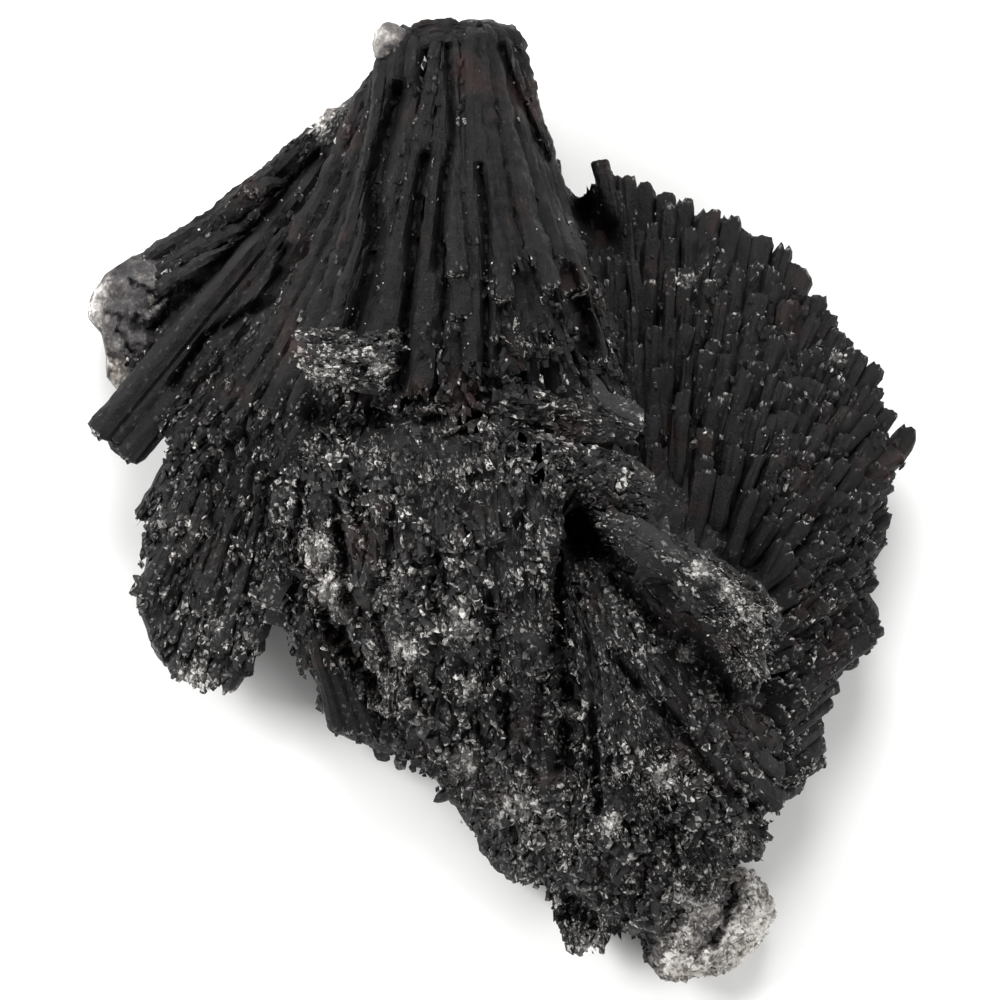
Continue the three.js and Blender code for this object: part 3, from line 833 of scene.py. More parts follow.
handle = Blades("handle_fan", seed=11, shades=(-0.5, -0.05))
for t in handle.spaced(RIB_COUNT, 0.12):
    end = handle.draw.uniform(0.8, 1.0)
    handle.lay(RIB_SHAPES, HANDLE_FAN, t, (0, 0.02), end, width=(2.3, 3.1), thick=3.6,
               depth=((-0.3, 0.4), (-0.4, 0.3)), roll=(-0.2, 0.2), swing=(-0.01, 0.01), spread=0.6)
    handle.strew_near(HANDLE_FAN, t, end - 0.005, 18, (0.014, 0.01), width=(0.4, 1.0), length=(0.5, 1.4),
                      stand=(-0.9, 0.3))
handle.lay(RIB_SHAPES[0], HANDLE_FAN, 0.012, 0.25, 0.97, width=3.2, thick=3.6, depth=(0.4, 0.0), roll=0.1,
           tone=0.0)
handle.lay(RIB_SHAPES[3], HANDLE_FAN, 0.99, 0.0, 0.97, width=2.6, thick=3.6, depth=(0.8, 0.2), tone=-0.1)
for t in (0.2, 0.55, 0.85):
    handle.lay(RIB_SHAPES[4], EDGE_LOBE, t, 0.0, 1.0, width=1.9, thick=3.0, depth=(0.2, 0.0), tone=0.05)
for t in (0.2, 0.6, 0.95):
    handle.lay(RIB_SHAPES[2], HANDLE_EDGE, t, 0.0, 1.0, width=1.7, thick=3.0, depth=(0.1, 0.3), roll=-0.25)
    handle.lay(RIB_SHAPES[1], HANDLE_TOP, t, 0.0, 1.0, width=1.5, thick=3.0, depth=(0.1, 0.3), roll=-0.2)
for i in range(RIB_COUNT + 1):
    t = (i + handle.draw.uniform(-0.15, 0.15)) / RIB_COUNT
    handle.lay(RIB_SHAPES, HANDLE_FAN, t, (0.3, 0.55), (0.86, 1.0), width=(2.0, 3.0), thick=3.0,
               depth=(2.0, (-0.1, 0.6)), roll=(-0.3, 0.3), spread=0.6)
for i in range(2 * RIB_COUNT):
    t = (0.5 * i + handle.draw.uniform(-0.15, 0.15)) / RIB_COUNT
    handle.lay(RIB_SHAPES, HANDLE_FAN, t, (0.0, 0.1), (0.9, 1.0), width=(1.6, 2.4), thick=2.0,
               depth=((1.5, 2.1), (1.4, 2.2)), roll=(-0.3, 0.3), spread=0.5)
for t in handle.spaced(5, 0.2):
    end = handle.draw.uniform(0.8, 1.03)
    handle.lay(RIB_SHAPES, UPPER_RIBS, t, 0.0, end, width=(2.0, 2.8), thick=2.6, depth=(0.3, (-0.5, 0.4)),
               roll=(-0.2, 0.2), spread=0.6)
    handle.strew_near(UPPER_RIBS, t, end - 0.005, 18, (0.06, 0.015), width=(0.4, 1.0), length=(0.5, 1.3),
                      stand=(-0.9, 0.3))
for t, end in BROKEN_RIBS:
    handle.lay(RIB_SHAPES, HANDLE_FAN, t, 0.12, end, width=(2.0, 2.6), thick=2.6, depth=(0.4, (-0.7, -0.4)),
               roll=(-0.15, 0.15), spread=0.6)
    handle.strew_near(HANDLE_FAN, t, end - 0.01, 22, (0.014, 0.025), width=(0.3, 0.9), length=(0.4, 1.0),
                      stand=(-0.6, 0.6))
for _ in range(36):
    start = handle.draw.uniform(0.2, 0.8)
    handle.lay(TONGUE_SHAPES, HANDLE_FAN, (0.04, 0.97), start, (start + 0.08, start + 0.2), width=(1.2, 2.2),
               thick=1.4, depth=(0.6, (-0.6, 0.0)), roll=(-0.35, 0.35), swing=(-0.01, 0.01))
handle.strew_over(HANDLE_FAN, 900, 0.1, width=(0.15, 0.5), length=(0.2, 0.9), stand=(-0.3, 0.15), lean=0.5)
handle.strew_over(HANDLE_FAN, 500, 0.75, width=(0.3, 0.9), length=(0.4, 1.4), stand=(-0.6, 0.4), lean=0.8,
                  stray=0.4)
for t, end, rise in UPPER_ENDS:
    handle.lay(RIB_SHAPES[2], UPPER_RIBS, t, 0.35, end, width=2.1, thick=2.4, depth=(0.3, -rise), roll=0.1,
               tone=-0.1)
    handle.strew_near(UPPER_RIBS, t, end, 14, (0.05, 0.015), width=(0.3, 0.8), length=(0.4, 1.1),
                      stand=(-rise - 0.4, -rise + 0.4))
handle_fan = handle.finish(coarse=0.9, fine=0.35, lumps=0.2, crumbled=0.2)


# ---- The tiled fan ----
# At the right, close columns of blunt blades whose ends step down and outwards like roof tiles, each end
# coming out from over the one before.

TILED_FAN = {
    "bow": 2,
    "first": 0.02,
    "roots": [
        (10, -4, 24), (17.5, -6, 24), (24, -9, 22.5), (25.5, -12, 21.5), (25, -17, 20), (25, -22, 18),
        (26, -27, 15), (27, -31, 12)],
    "tips": [
        (7.6, 30.2, 9), (12, 32.4, 9), (17.8, 32.2, 9), (23.4, 28.8, 9), (28.4, 25.4, 9), (32.5, 21.5, 9),
        (35.3, 16.4, 9), (38.6, 12.4, 9), (42.2, 5.6, 9), (38.6, 0.4, 9), (39.4, -3, 9), (37.6, -8.6, 8),
        (39.2, -13, 8), (34.5, -17.5, 8), (32.6, -21, 8), (33, -25.6, 7), (29.8, -30, 7)],
}
CORNER_TILE = {
    "roots": [(10.6, 27.0, 13), (12.6, 27.0, 13)],
    "tips": [(9.2, 34.2, 9.4), (10.8, 34.6, 9.4)],
}

COLUMN_COUNT = 46

tiled = Blades("tiled_fan", seed=29)
for column, t in enumerate(tiled.spaced(COLUMN_COUNT, 0.2)):
    wide = tiled.draw.uniform(1.5, 2.3)
    end = tiled.draw.uniform(0.96, 1.02)
    tone = tiled.draw.uniform(-0.4, -0.1)
    while end > (0.28 if column % 2 == 0 else 0.5):
        tiled.lay(TILE_SHAPES, TILED_FAN, (t - 0.005, t + 0.005), (end - 0.16, end - 0.3), end,
                  width=(0.75 * wide, 1.2 * wide), thick=2.2, depth=(2.4, (-0.8, 0.3)), roll=(-0.2, 0.2),
                  swing=(-0.008, 0.008), tone=(tone - 0.08, tone + 0.08), spread=1.0)
        end -= tiled.draw.uniform(0.03, 0.13)
tiled.lay(RIB_SHAPES[0], CORNER_TILE, 0.5, 0.0, 1.0, width=1.9, thick=2.6, depth=(0.6, 0.0), tone=-0.2)
tiled.strew_over(TILED_FAN, 700, 0.3, width=(0.15, 0.5), length=(0.2, 0.8), stand=(-0.3, 0.1), lean=0.6,
                 edge=0.03, last=0.93)
tiled_fan = tiled.finish(coarse=0.5, fine=0.3, lumps=0.15, crumbled=0.15)


# ---- The left tail ----
# A rough bundle of short, crumbling blades that hangs below the left of the handle fan, with a few ribs along
# it.

LEFT_TAIL = {
    "roots": [(-26.5, 17, 18.4), (-23.8, 14, 20.4), (-21, 10, 21.4), (-19.5, 7, 21.4)],
    "tips": [
        (-36.5, -1.2, 12.9), (-36, -6, 13.4), (-36.5, -10, 13.4), (-35, -13.5, 12.4), (-32.6, -17.5, 11.4),
        (-30.5, -19.8, 10.4), (-27.5, -19, 11.4), (-25, -16.5, 12.4), (-23.6, -8.5, 16.4)],
}
# How far across the tail each rib lies, and where it starts and ends.
TAIL_RIBS = ((0.05, 0.1, 0.62), (0.12, 0.2, 0.9), (0.2, 0.05, 0.75), (0.28, 0.25, 0.97), (0.36, 0.0, 0.72),
             (0.44, 0.2, 0.95), (0.52, 0.05, 0.8), (0.6, 0.25, 0.97), (0.68, 0.1, 0.85))

tail = Blades("left_tail", seed=17)
tail.rows(LEFT_TAIL, TONGUE_SHAPES, 8, 0.3, 11, length=(0.2, 0.4), width=(1.2, 2.4), thick=2.4,
          stand=(-0.7, 0.4), leaning=0.45)
for t, start, end in TAIL_RIBS:
    tail.lay(RIB_SHAPES, LEFT_TAIL, t, start, end, width=(0.9, 1.6), thick=2.4,
             depth=((-0.1, 0.5), (-0.9, -0.3)), roll=(-0.4, 0.4), swing=(-0.03, 0.03), tone=(-0.25, 0.05),
             spread=0.5)
tail.strew_over(LEFT_TAIL, 820, 0.15, width=(0.3, 0.8), length=(0.4, 1.4), stand=(-0.4, 0.6), lean=0.9,
                stray=0.4)
left_tail = tail.finish(coarse=0.7, fine=0.25, lumps=0.3, crumbled=0.6)


# ---- The hump ----
# The thick middle of the cluster: short blades that all point down it, so broken and crumbled that their ends
# make a rough, granular slope.

HUMP_FAN = {
    "roots": [
        (-22.4, 3, 20), (-21, 6, 24), (-18, 7.5, 28), (-13, 8, 32), (-7, 8, 35), (-1, 6.5, 37), (4, 4, 38),
        (6.5, 1, 37)],
    "crest": [
        (-23, -4, 19), (-18.8, -7.8, 23), (-13.3, -11.2, 27), (-7.7, -14.2, 30), (-2.5, -16.5, 31),
        (2, -19, 31),
        (4.8, -20, 30), (6, -19, 28)],
    "tips": [
        (-22.4, -11.4, 11), (-17.6, -22.4, 9), (-11.8, -25.4, 9), (-6.8, -28.8, 9), (-2.6, -33.6, 9),
        (1, -37.6, 9), (5, -40.4, 9), (8.4, -41.5, 12)],
}

hump_blades = Blades("hump", seed=43)
hump_blades.rows(HUMP_FAN, BLOCK_SHAPES, 11, 0.03, 16, length=(0.1, 0.24), width=(1.5, 3.2), thick=2.6,
                 stand=(-0.7, 0.6), leaning=0.4)
for k in range(14):
    end = 0.12 + 0.065 * k
    hump_blades.lay(BLOCK_SHAPES, HUMP_FAN, (0.0, 0.07), end - 0.2, end, width=(1.8, 2.8), thick=2.6,
                    depth=(1.4, (-0.4, 0.3)), roll=(-0.3, 0.3))
hump_blades.rows(HUMP_FAN, TONGUE_SHAPES, 9, 0.08, 10, length=(0.08, 0.2), width=(0.8, 1.6), thick=2.0,
                 stand=(-0.8, 0.2), leaning=0.5)
for _ in range(14):
    start = hump_blades.draw.uniform(0.3, 0.6)
    hump_blades.lay(RIB_SHAPES, HUMP_FAN, (0.7, 0.98), start, (start + 0.2, start + 0.35), width=(1.2, 2.2),
                    thick=2.0, depth=(0.6, (-0.3, 0.5)), roll=(-0.3, 0.3), tone=-0.15)
hump_blades.strew_over(HUMP_FAN, 2000, -0.03, width=(0.25, 0.8), length=(0.3, 1.2), stand=(-0.4, 0.4),
                       lean=0.8, stray=0.6)
hump = hump_blades.finish(coarse=1.0, fine=0.35, lumps=0.6, crumbled=0.85)


# ---- The skirt ----
# A second sheet that comes out from under the hump across a dark gap and ends at the bottom of the specimen.

SKIRT_FAN = {
    "roots": [(4, -6, 24), (6.5, -5, 26), (9, -4.5, 28), (11, -5.5, 29), (14, -7, 28)],
    "crest": [(4.5, -22, 24), (10, -24, 27), (14, -23.5, 28), (18, -21.5, 27), (22, -16.5, 24)],
    "tips": [
        (5, -41.5, 9), (8.5, -44, 9), (13, -43.8, 10), (18, -42.2, 11), (23.4, -38.4, 13), (26.8, -34.4, 14),
        (28.8, -29.4, 14), (27.5, -22, 15)],
}

skirt_blades = Blades("skirt", seed=42)
for t in skirt_blades.spaced(12, 0.3):
    skirt_blades.lay(RIB_SHAPES, SKIRT_FAN, t, (0.0, 0.2), (0.45, 0.85), width=(1.4, 2.4), thick=3.0,
                     depth=((-0.2, 0.5), (0.2, 1.2)), roll=(-0.4, 0.4), swing=(-0.03, 0.03), spread=0.4)
skirt_blades.rows(SKIRT_FAN, BLOCK_SHAPES, 10, 0.12, 13, length=(0.1, 0.26), width=(1.4, 3.0), thick=2.6,
                  stand=(-0.6, 0.6), leaning=0.4)
skirt_blades.rows(SKIRT_FAN, TONGUE_SHAPES, 8, 0.12, 9, length=(0.08, 0.22), width=(0.8, 1.6), thick=2.0,
                  stand=(-0.7, 0.2), leaning=0.4)
skirt_blades.strew_over(SKIRT_FAN, 700, 0.05, width=(0.2, 0.7), length=(0.4, 1.6), stand=(-0.5, 0.3),
                        lean=0.6)
skirt_blades.strew_over(SKIRT_FAN, 1000, 0.5, width=(0.3, 0.9), length=(0.3, 1.1), stand=(-0.5, 0.4),
                        lean=0.8, stray=0.6)
skirt = skirt_blades.finish(coarse=0.9, fine=0.35, lumps=0.6, crumbled=0.85)


# ---- The smooth dark blades ----
# A few blades are whole and hardly crumbled. The broadest stands clear of the handle fan's left side, a blunt
# one ends the left tail, one lies below the hump, and long ones edge the skirt and the low end of the tiled
# fan.

BROAD_BLADE = {
    "roots": [(-24.2, 27.2, 19.6), (-20.0, 24.6, 21.4)],
    "tips": [(-41.4, 6.8, 14.4), (-37.6, 2.8, 14.4)],
}
BLUNT_BLADE = {
    "roots": [(-26.8, -4.0, 15.6), (-23.0, -3.0, 16.4)],
    "tips": [(-28.4, -19.0, 11.6), (-25.2, -17.6, 12.0)],
}
LOW_BLADE = {
    "roots": [(-19.3, -13.4, 18.6), (-17.2, -13.6, 19.6)],
    "tips": [(-17.0, -23.4, 14.0), (-12.5, -24.8, 15.6)],
}

whole = Blades("smooth_dark_blades", seed=61)
for t, end, width, depth in ((0.16, 1.0, 2.9, 0.0), (0.5, 0.97, 2.4, 0.6), (0.84, 0.985, 2.7, 0.1)):
    whole.lay(RIB_SHAPES[2], BROAD_BLADE, t, 0.0, end, width, thick=4.6, depth=(depth, depth),
              roll=(-0.06, 0.06), tone=-0.1)
for t, width in ((0.25, 2.6), (0.75, 2.4)):
    whole.lay(RIB_SHAPES[1], BLUNT_BLADE, t, 0.0, 1.0, width, thick=5.0, roll=(-0.1, 0.1), tone=-0.2)
for t, end, width, depth in ((0.14, 0.98, 1.6, 0.0), (0.46, 1.0, 1.7, 0.3), (0.8, 0.96, 1.5, 0.7)):
    whole.lay(RIB_SHAPES[1], LOW_BLADE, t, 0.0, end, width, thick=7.0, depth=(depth, depth), tone=-0.3,
              spread=0.9)
for t, start, end in ((0.76, 0.4, 0.8), (0.83, 0.25, 1.0), (0.89, 0.2, 0.99), (0.95, 0.3, 1.0)):
    whole.lay(RIB_SHAPES, SKIRT_FAN, t, start, end, width=(1.9, 2.8), thick=3.0, depth=(0.3, -0.5),
              roll=(-0.25, 0.25), swing=(-0.02, 0.02), tone=-0.1)
for i in range(9):
    whole.lay(RIB_SHAPES, TILED_FAN, 0.74 + 0.03 * i, 0.25, (0.9, 1.0), width=(1.6, 2.4), thick=2.4,
              depth=(0.2, (-1.0, 0.2)), roll=(-0.3, 0.3), tone=-0.25)
whole.finish(coarse=0.4, fine=0.14, crumbled=0.0)


# ---- The arms, the ledge and the pale flake ----
# A long and a short arm of fused blades reach out over the tiled fan, beside a crumbly ledge. A thin pale
# flake lies over the hollow below the handle fan, and a small nub sticks out at the skirt's low end.

LONG_ARM = {
    "roots": [(8, -0.5, 32), (9.5, -2.7, 33.5), (10.2, -4.8, 31.5)],
    "crest": [(17.2, -3.8, 32.5), (17.8, -6.4, 34.6), (17.9, -9.2, 32.5)],
    "tips": [(27.0, -9.6, 26.5), (28.2, -13.6, 28), (27, -18, 28), (23.4, -19, 26.5)],
}
SHORT_ARM = {
    "roots": [(0.5, 12, 31.5), (0, 10, 33), (-0.5, 8, 31.5)],
    "tips": [(13.5, 9.2, 28), (14, 7.2, 30), (13, 5.2, 28)],
}
LEDGE = {
    "roots": [(-1, 8, 34), (1, 5, 36), (3, 1, 35)],
    "tips": [(13, 4.2, 30), (15.5, 1.2, 31.5), (14.5, -2, 30)],
}
PALE_FLAKE = {
    "roots": [(-20.0, 17, 30.5), (-20.4, 14.6, 31.5), (-19.6, 12.6, 31)],
    "tips": [(-10.0, 16.8, 32.2), (-9.6, 14, 33.4), (-10.6, 10.6, 33)],
}
LOW_NUB = {
    "roots": [(5.8, -41.2, 8.5), (10.0, -41.6, 9.5)],
    "tips": [(7.0, -45.4, 5.5), (10.6, -45.6, 6.5)],
}

arms = Blades("arms_and_ledge", seed=53)
arms.rows(LOW_NUB, BLOCK_SHAPES, 4, 0.3, 4, length=(0.4, 0.7), width=(1.2, 1.9), thick=3.0, stand=(-0.5, 0.2),
          leaning=0.3)
arms.strew_over(LOW_NUB, 110, 0.1, width=(0.3, 0.8), length=(0.4, 0.9), stand=(-0.3, 0.5), lean=0.9,
                stray=0.6)
arms.rows(LONG_ARM, BLOCK_SHAPES, 4, 0.6, 5, length=(0.2, 0.4), width=(1.4, 2.2), thick=2.0,
          stand=(-0.4, 0.3), leaning=0.3)
for t in arms.spaced(10, 0.3):
    end = arms.draw.uniform(0.6, 0.98)
    arms.lay(RIB_SHAPES, LONG_ARM, t, 0.0, end, width=(0.9, 1.5), thick=2.0, depth=((-0.2, 0.4), (-0.5, 0.2)),
             roll=(-0.3, 0.3), swing=(-0.05, 0.05), tone=(-0.15, 0.2), spread=0.4)
    arms.strew_near(LONG_ARM, t, end - 0.01, 12, (0.04, 0.03), width=(0.3, 0.7), length=(0.4, 1.1),
                    stand=(-0.5, 0.4))
arms.strew_over(LONG_ARM, 300, 0.02, width=(0.2, 0.6), length=(0.4, 1.2), stand=(-0.2, 0.5), lean=0.6)
arms.strew_over(LONG_ARM, 300, 0.66, width=(0.3, 0.8), length=(0.4, 1.1), stand=(-0.4, 0.5), lean=0.9,
                stray=0.6)
arms.rows(SHORT_ARM, BLOCK_SHAPES, 5, 0.2, 4, length=(0.25, 0.5), width=(1.1, 2.0), thick=2.4,
          stand=(-0.5, 0.4), leaning=0.4)
arms.strew_over(SHORT_ARM, 160, 0.02, width=(0.2, 0.7), length=(0.4, 1.4), stand=(-0.4, 0.5), lean=0.9,
                stray=0.4)
arms.rows(LEDGE, BLOCK_SHAPES, 7, 0.1, 6, length=(0.2, 0.45), width=(1.1, 2.2), thick=2.6, stand=(-0.6, 0.4),
          leaning=0.5)
for _ in range(8):
    arms.lay(BLOCK_SHAPES, LEDGE, (0.1, 0.9), 0.0, (0.2, 0.4), width=2.2, thick=3.0, depth=(0.9, (-0.2, 0.3)),
             roll=(-0.4, 0.4))
arms.strew_over(LEDGE, 420, 0.0, width=(0.2, 0.8), length=(0.3, 1.4), stand=(-0.4, 0.6), lean=1.0, stray=0.6)
arms.rows(PALE_FLAKE, BLOCK_SHAPES, 3, 0.35, 4, length=(0.3, 0.5), width=(1.6, 2.8), thick=0.9,
          stand=(-0.3, 0.3), leaning=0.3, start_depth=0.4)
arms.strew_over(PALE_FLAKE, 160, 0.0, width=(0.2, 0.8), length=(0.4, 1.4), stand=(-0.4, 0.3), lean=0.8,
                stray=0.4)
arms_and_ledge = arms.finish(coarse=0.9, fine=0.35, lumps=0.4, crumbled=0.85)


# ---- Loose mica ----
# Small angular chips of pale mica, under half a millimetre across, stuck to the broken surfaces and thickest
# in the pale patches. They catch the light.

FLAKE_COUNT = 7200
FLAKE_SPAN = (0.09 * MM, 0.36 * MM)
FLAKE_STANDS = 0.03 * MM
FLAKE_TILT = 0.5
FLAKE_GREY = "#4f4d4b"
FLAKE_WHITE = "#cfccc7"
MICA_IOR = 1.58
MOTTLE_SPAN = 0.8 * MM
# Places on the long arm that bear fewer flakes: x, y and radius in millimetres, and how much fewer.
ARM_SPOTS = [(14, -2.5, 2.8, 0.9), (18, -5, 2.8, 0.9), (22, -9, 2.8, 0.9), (25.5, -13, 3.2, 0.9)]

bpy.ops.object.select_all(action="DESELECT")
bpy.ops.mesh.primitive_cylinder_add(vertices=5, radius=0.5, depth=0.5, location=(0, 0, 0))
flake = bpy.context.object
flake.name = "flake"
bpy.ops.object.mode_set(mode="EDIT")
bpy.ops.mesh.bisect(plane_co=(0.2, 0, 0), plane_no=(1, 0.4, 0.5), use_fill=True, clear_outer=True)
bpy.ops.mesh.select_all(action="SELECT")
bpy.ops.mesh.quads_convert_to_tris()
bpy.ops.object.mode_set(mode="OBJECT")


def surface_samples(pieces, count, chance, draw):
    """Random places on the surfaces of pieces, likelier where the chance is high, and the ways out there."""
    corners = []
    for piece in pieces:
        piece.data.calc_loop_triangles()
        order = np.empty(3 * len(piece.data.loop_triangles), np.int32)
        piece.data.loop_triangles.foreach_get("vertices", order)
        corners.append(points_of(piece)[order].reshape(-1, 3, 3))
    corners = np.concatenate(corners)
    normals = np.cross(corners[:, 1] - corners[:, 0], corners[:, 2] - corners[:, 0])
    areas = np.linalg.norm(normals, axis=1)
    weights = areas * chance(corners.mean(1))
    chosen = draw.choice(len(corners), count, p=weights / weights.sum())
    shares = draw.dirichlet((1, 1, 1), count)
    places = (corners[chosen] * shares[:, :, None]).sum(1)
    return places, normals[chosen] / areas[chosen, None]


def turned_frames(normals, tilt, draw):
    """For each normal, three axes: the third near the normal, turned about it at random."""
    third = unit(normals + draw.normal(0, tilt, normals.shape))
    first = unit(np.cross(third, draw.normal(0, 1, normals.shape)))
    return np.stack([first, np.cross(third, first), third], 1)


def set_ramp(node, stops):
    """Gives a colour ramp its stops, each a place and a hex colour: both ends, then those between."""
    elements = node.color_ramp.elements
    for k, (place, colour) in enumerate(stops):
        stop = elements[k] if k < 2 else elements.new(place)
        stop.position = place
        stop.color = linear(colour)


def make_mica():
    """Muscovite mica: thin, pale, with a pearly shine."""
    made = new_material("pale_muscovite_mica")
    place = add_node(made, "ShaderNodeTexCoord").outputs["Object"]
    mottle = add_node(made, "ShaderNodeTexNoise", inputs={
        "Vector": place, "Scale": 1 / MOTTLE_SPAN, "Detail": 3.0, "Roughness": 0.6})
    colour = add_node(made, "ShaderNodeValToRGB", inputs={"Fac": mottle})
    set_ramp(colour, ((0.35, FLAKE_GREY), (0.68, FLAKE_WHITE)))
    shader = add_node(made, "ShaderNodeBsdfPrincipled", inputs={
        "Base Color": colour, "Roughness": 0.34, "IOR": MICA_IOR})
    add_node(made, "ShaderNodeOutputMaterial", inputs={"Surface": shader})
    return made


def flake_chance(points):
    """Flakes are thin on the upper fans, thicker over the hump and skirt, and thickest in the patches."""
    lower = lower_side(points, 8.4, 3) * (points[:, 0] < 27 * MM)
    calm = 1 - spots_at(points, ARM_SPOTS)
    return (0.42 + 0.4 * lower) * calm + 8 * (mica_at(points) * (0.5 + 0.5 * calm)) ** 1.5


flake_draw = np.random.default_rng(97)
hosts = [middle, handle_fan, tiled_fan, left_tail, hump, skirt, arms_and_ledge]
flake_places, flake_normals = surface_samples(hosts, FLAKE_COUNT, flake_chance, flake_draw)
flake_spans = FLAKE_SPAN[0] + (FLAKE_SPAN[1] - FLAKE_SPAN[0]) * flake_draw.uniform(0, 1, FLAKE_COUNT) ** 2
flake_sizes = flake_spans[:, None] * flake_draw.uniform(0.6, 1.4, (FLAKE_COUNT, 3))
mica_flakes = scattered("mica_flakes", flake, flake_places + FLAKE_STANDS * flake_normals,
                        turned_frames(flake_normals, FLAKE_TILT, flake_draw), flake_sizes)
set_points(mica_flakes, points_of(mica_flakes))
bpy.data.objects.remove(flake)
mica_flakes.data.materials.append(make_mica())
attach(mica_flakes, "root")


# ---- The matrix lumps ----
# Two lumps of the host rock: fine-grained pale mica and quartz, cracked, with grey kyanite grains and brown
# iron stains in the hollows, and painted shade darkening the cracks. They broke from the rock with the
# crystals.

LUMP_GRAIN = 0.3 * MM
ROCK_GRAIN = 0.34 * MM
MATRIX_IOR = 1.57
MATRIX_SHINE = 0.35
MATRIX_SHADES = ((0.48, "#1c1a1b"), (1.0, "#dad7d2"), (0.66, "#383536"), (0.78, "#5c5856"), (0.92, "#a19d98"))
MATRIX_BROWN = "#9c8a72"
EDGE_PRESSED = 0.85
EDGE_REACH = 6 * MM
CRACK_RAGGED = 0.2
CRUMB_TILT = 0.6
ROCK_SMOOTH_TURN = math.radians(40)
# How uneven each lump is, how gritty it is, and how many crumbs lie on it.
LUMPS = {"left_matrix_lump": (0.6, 0.5, 0), "lower_matrix_lump": (0.9, 1.0, 420)}

# The left lump's edge, from its low end up: x and y in millimetres. What bulges past it is pressed back.
LEFT_EDGE = [
    (-36.8, 9.6), (-38.2, 11), (-39.4, 12.4), (-39.4, 14.5), (-39.8, 16.7), (-41.2, 18.2), (-41.4, 19.3),
    (-41.0, 20.8), (-39.6, 22.7), (-37.4, 24.1), (-36.5, 24.6), (-34, 25.6)]

# Where each lump is weathered pale: x, y and radius in millimetres, and how far.
RINDS = {
    "left_matrix_lump": [
        (-37.0, 16.0, 7.0, 0.22), (-41.4, 18.6, 1.9, 1.0), (-40.6, 21.2, 1.6, 0.8), (-39.6, 13.6, 1.5, 0.7),
        (-38.4, 10.6, 1.7, 1.0), (-36.2, 22.6, 1.2, 0.3), (-36.4, 12.6, 1.6, 0.3)],
    "lower_matrix_lump": [
        (25.4, -45.4, 3.0, 1.0), (24.8, -38.4, 2.6, 0.9), (26.4, -41.6, 2.2, 0.9), (19.5, -44.0, 4.0, 0.4),
        (20.0, -41.6, 1.8, 0.6), (18.0, -47.2, 2.4, 0.8), (22.4, -47.6, 2.4, 0.9)],
}


def make_matrix():
    """Pale rock that reads how weathered its points are, darkened by painted shade in the cracks
    (rind_and_crack_shade), and how gritty they are.
    """
    made = new_material("pale_mica_quartz_rock")
    place = add_node(made, "ShaderNodeTexCoord").outputs["Object"]
    rind_and_crack_shade, gritty = [
        add_node(made, "ShaderNodeAttribute", {"attribute_name": field}).outputs["Fac"]
        for field in ("rind_and_crack_shade", "gritty")]
    broad, stain, fine = [
        add_node(made, "ShaderNodeTexNoise", inputs={
            "Vector": place, "Scale": 1 / span, "Detail": detail, "Roughness": roughness})
        for span, detail, roughness in ((2.6 * MM, 6.0, 0.7), (4.0 * MM, 4.0, 0.6), (0.3 * MM, 4.0, 0.7))]
    grains, grain_face = add_cells(made, place, [ROCK_GRAIN] * 3, "EUCLIDEAN")
    pick = add_node(made, "ShaderNodeSeparateColor", inputs={"Color": grains.outputs["Color"]})
    grit = add_node(made, "ShaderNodeMath", {"operation": "MULTIPLY"}, {0: pick, 1: gritty})
    shade = broad
    for part, weight in ((grit, 0.3), (rind_and_crack_shade, 0.34)):
        shade = add_node(made, "ShaderNodeMath", {"operation": "MULTIPLY_ADD"}, {
            0: part, 1: weight, 2: shade})
    colour = add_node(made, "ShaderNodeValToRGB", inputs={"Fac": shade})
    set_ramp(colour, MATRIX_SHADES)
    stain_share = add_node(made, "ShaderNodeMapRange", inputs={
        "Value": stain, "From Min": 0.54, "From Max": 0.68, "To Max": 0.55})
    stained = add_node(made, "ShaderNodeMix", {"data_type": "RGBA", "blend_type": "MULTIPLY"}, {
        "Factor": stain_share, 6: colour, 7: linear(MATRIX_BROWN)})
    grain_face = add_node(made, "ShaderNodeMath", {"operation": "MULTIPLY"}, {0: grain_face, 1: gritty})
    relief = add_relief(made, ((fine, 0.8, GRAIN_DEPTH), (grain_face, 0.9, FACET_DEPTH)))
    shader = add_node(made, "ShaderNodeBsdfPrincipled", inputs={
        "Base Color": stained.outputs[2], "Roughness": 0.55, "IOR": MATRIX_IOR,
        "Specular IOR Level": MATRIX_SHINE, **relief})
    add_node(made, "ShaderNodeOutputMaterial", inputs={"Surface": shader})
    return made


def dress_rock(piece, rind_and_crack_shade, gritty):
    """Smooths a piece of rock and gives it its material, its weathering with the painted shade in its cracks
    (rind_and_crack_shade), and its grit.
    """
    set_attribute(piece, "rind_and_crack_shade", rind_and_crack_shade)
    set_attribute(piece, "gritty", gritty)
    activate(piece)
    bpy.ops.object.shade_smooth_by_angle(angle=ROCK_SMOOTH_TURN)
    piece.data.materials.append(matrix)


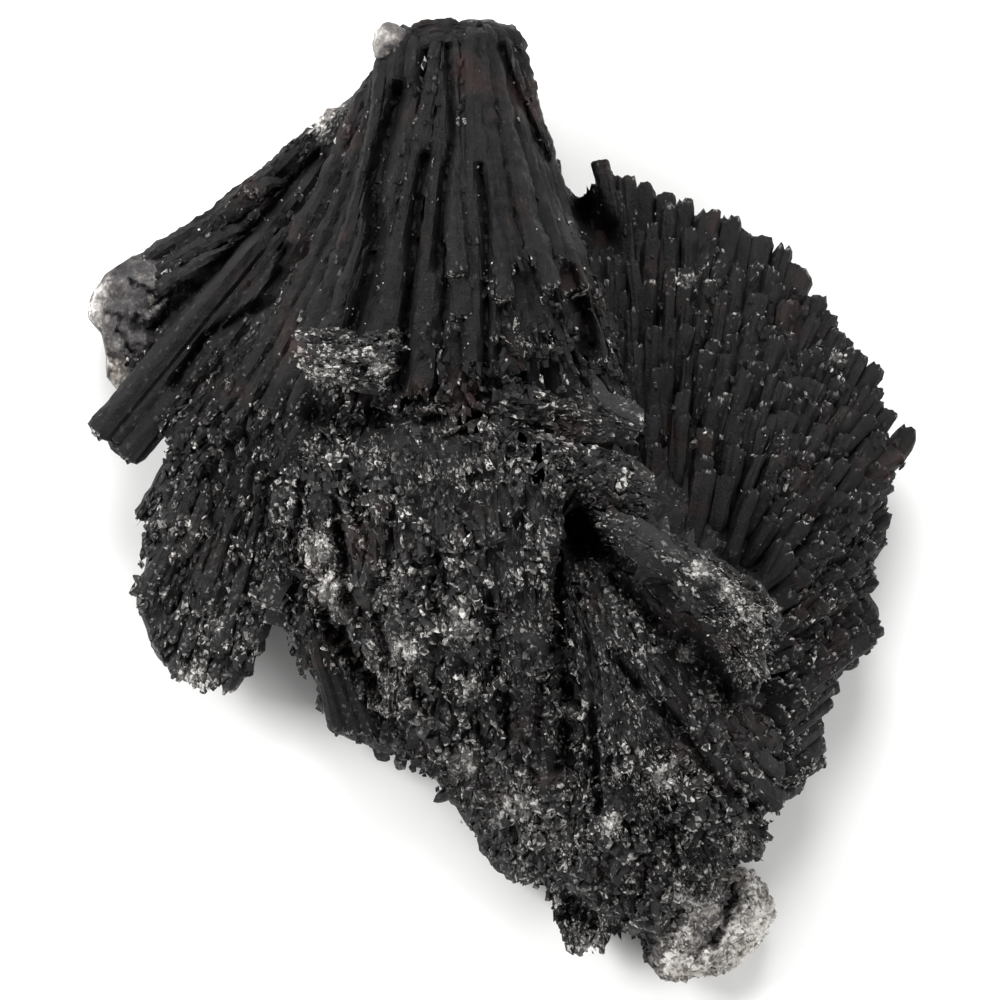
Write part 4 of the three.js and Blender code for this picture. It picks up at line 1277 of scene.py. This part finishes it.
matrix = make_matrix()
crumb_draw = np.random.default_rng(71)
for node, (uneven, gritty, crumb_count) in LUMPS.items():
    lump = merged_copy(node, node.replace("lump", "rock"))
    apply_modifier(lump, "REMESH", mode="VOXEL", voxel_size=LUMP_GRAIN, adaptivity=0.0)
    low_points = points_of(lump)[:, 2] < 0.7 * LUMP_GRAIN
    roughen(lump, "CLOUDS", 3.4 * MM, 2.4 * MM)
    roughen(lump, "VORONOI", 2.4 * MM, 1.6 * uneven * MM)
    roughen(lump, "VORONOI", 0.9 * MM, 0.5 * uneven * MM)
    lump_points = points_of(lump)
    lump_points[low_points, 2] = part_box(node)[0].z
    edge_x, edge_y = np.array(LEFT_EDGE).T * MM
    past = np.minimum(lump_points[:, 0] - np.interp(lump_points[:, 1], edge_y, edge_x), 0)
    lump_points[:, 0] -= EDGE_PRESSED * past * (past > -EDGE_REACH)
    set_points(lump, lump_points)
    carve(lump, CRACK_RAGGED)
    if crumb_count:
        crumb_places, ways = surface_samples(
            [lump], crumb_count, lambda points: (points[:, 2] > 2 * MM) + 0.01, crumb_draw)
        crumb_sizes = crumb_draw.uniform(0.3 * MM, 1.0 * MM, (crumb_count, 3))
        crumb_axes = turned_frames(ways, CRUMB_TILT, crumb_draw)
        crumbs = scattered("crumbs", CHIP_SHAPES[0], crumb_places, crumb_axes, crumb_sizes)
        activate(lump, crumbs)
        bpy.ops.object.join()
    lump_points = points_of(lump)
    # Painted shade: points in the cracks are made darker, as their shadow would make them.
    crack_shade = crevice_depth(lump_points, CRACK_RAGGED) / MM
    dress_rock(lump, spots_at(lump_points, RINDS[node]) - 0.35 * crack_shade, gritty)
    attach(lump, "root")
    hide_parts(node)


# ---- The pale crumbs at the handle's edge ----
# Two rounded crumbs of whitish quartz, 2 to 4 mm across, grown onto the left edge of the handle fan: one at
# its top corner and a longer one lower down.

# Each crumb's place and radii in millimetres, how far it is turned, its roughness in millimetres and its
# grit.
EDGE_CRUMBS = [
    ((-10.8, 45.4, 22.6), (1.9, 2.0, 2.0), 0.1, 0.1, 0.2),
    ((-17.6, 37.6, 13.0), (0.9, 2.0, 1.4), -0.75, 0.3, 1.0),
]

for k, (place, radii, turn, rough, gritty) in enumerate(EDGE_CRUMBS):
    bpy.ops.object.select_all(action="DESELECT")
    bpy.ops.mesh.primitive_ico_sphere_add(subdivisions=5, radius=MM, rotation=(0, 0, turn))
    crumb = bpy.context.object
    crumb.name = f"edge_crumb_{k}"
    crumb.scale = radii
    bpy.ops.object.transform_apply(location=True, rotation=True, scale=True)
    bpy.ops.object.mode_set(mode="EDIT")
    bpy.ops.mesh.select_all(action="SELECT")
    bpy.ops.transform.translate(value=tuple(MM * side for side in place))
    bpy.ops.object.mode_set(mode="OBJECT")
    roughen(crumb, "CLOUDS", 1.6 * MM, 0.9 * MM)
    roughen(crumb, "VORONOI", 0.8 * MM, rough * MM)
    # Each crumb is whiter towards its left, outer side.
    outer = (place[0] - points_of(crumb)[:, 0] / MM) / radii[0]
    dress_rock(crumb, 0.75 + 0.35 * outer, gritty)
    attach(crumb, "root")
    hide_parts("kyanite_fans")


# ---- Sizes ----

def corners(box):
    """A box's two corners as plain lists."""
    return [list(corner) for corner in box]


{"cad": corners(CAD_BOX), "visual": corners(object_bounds())}
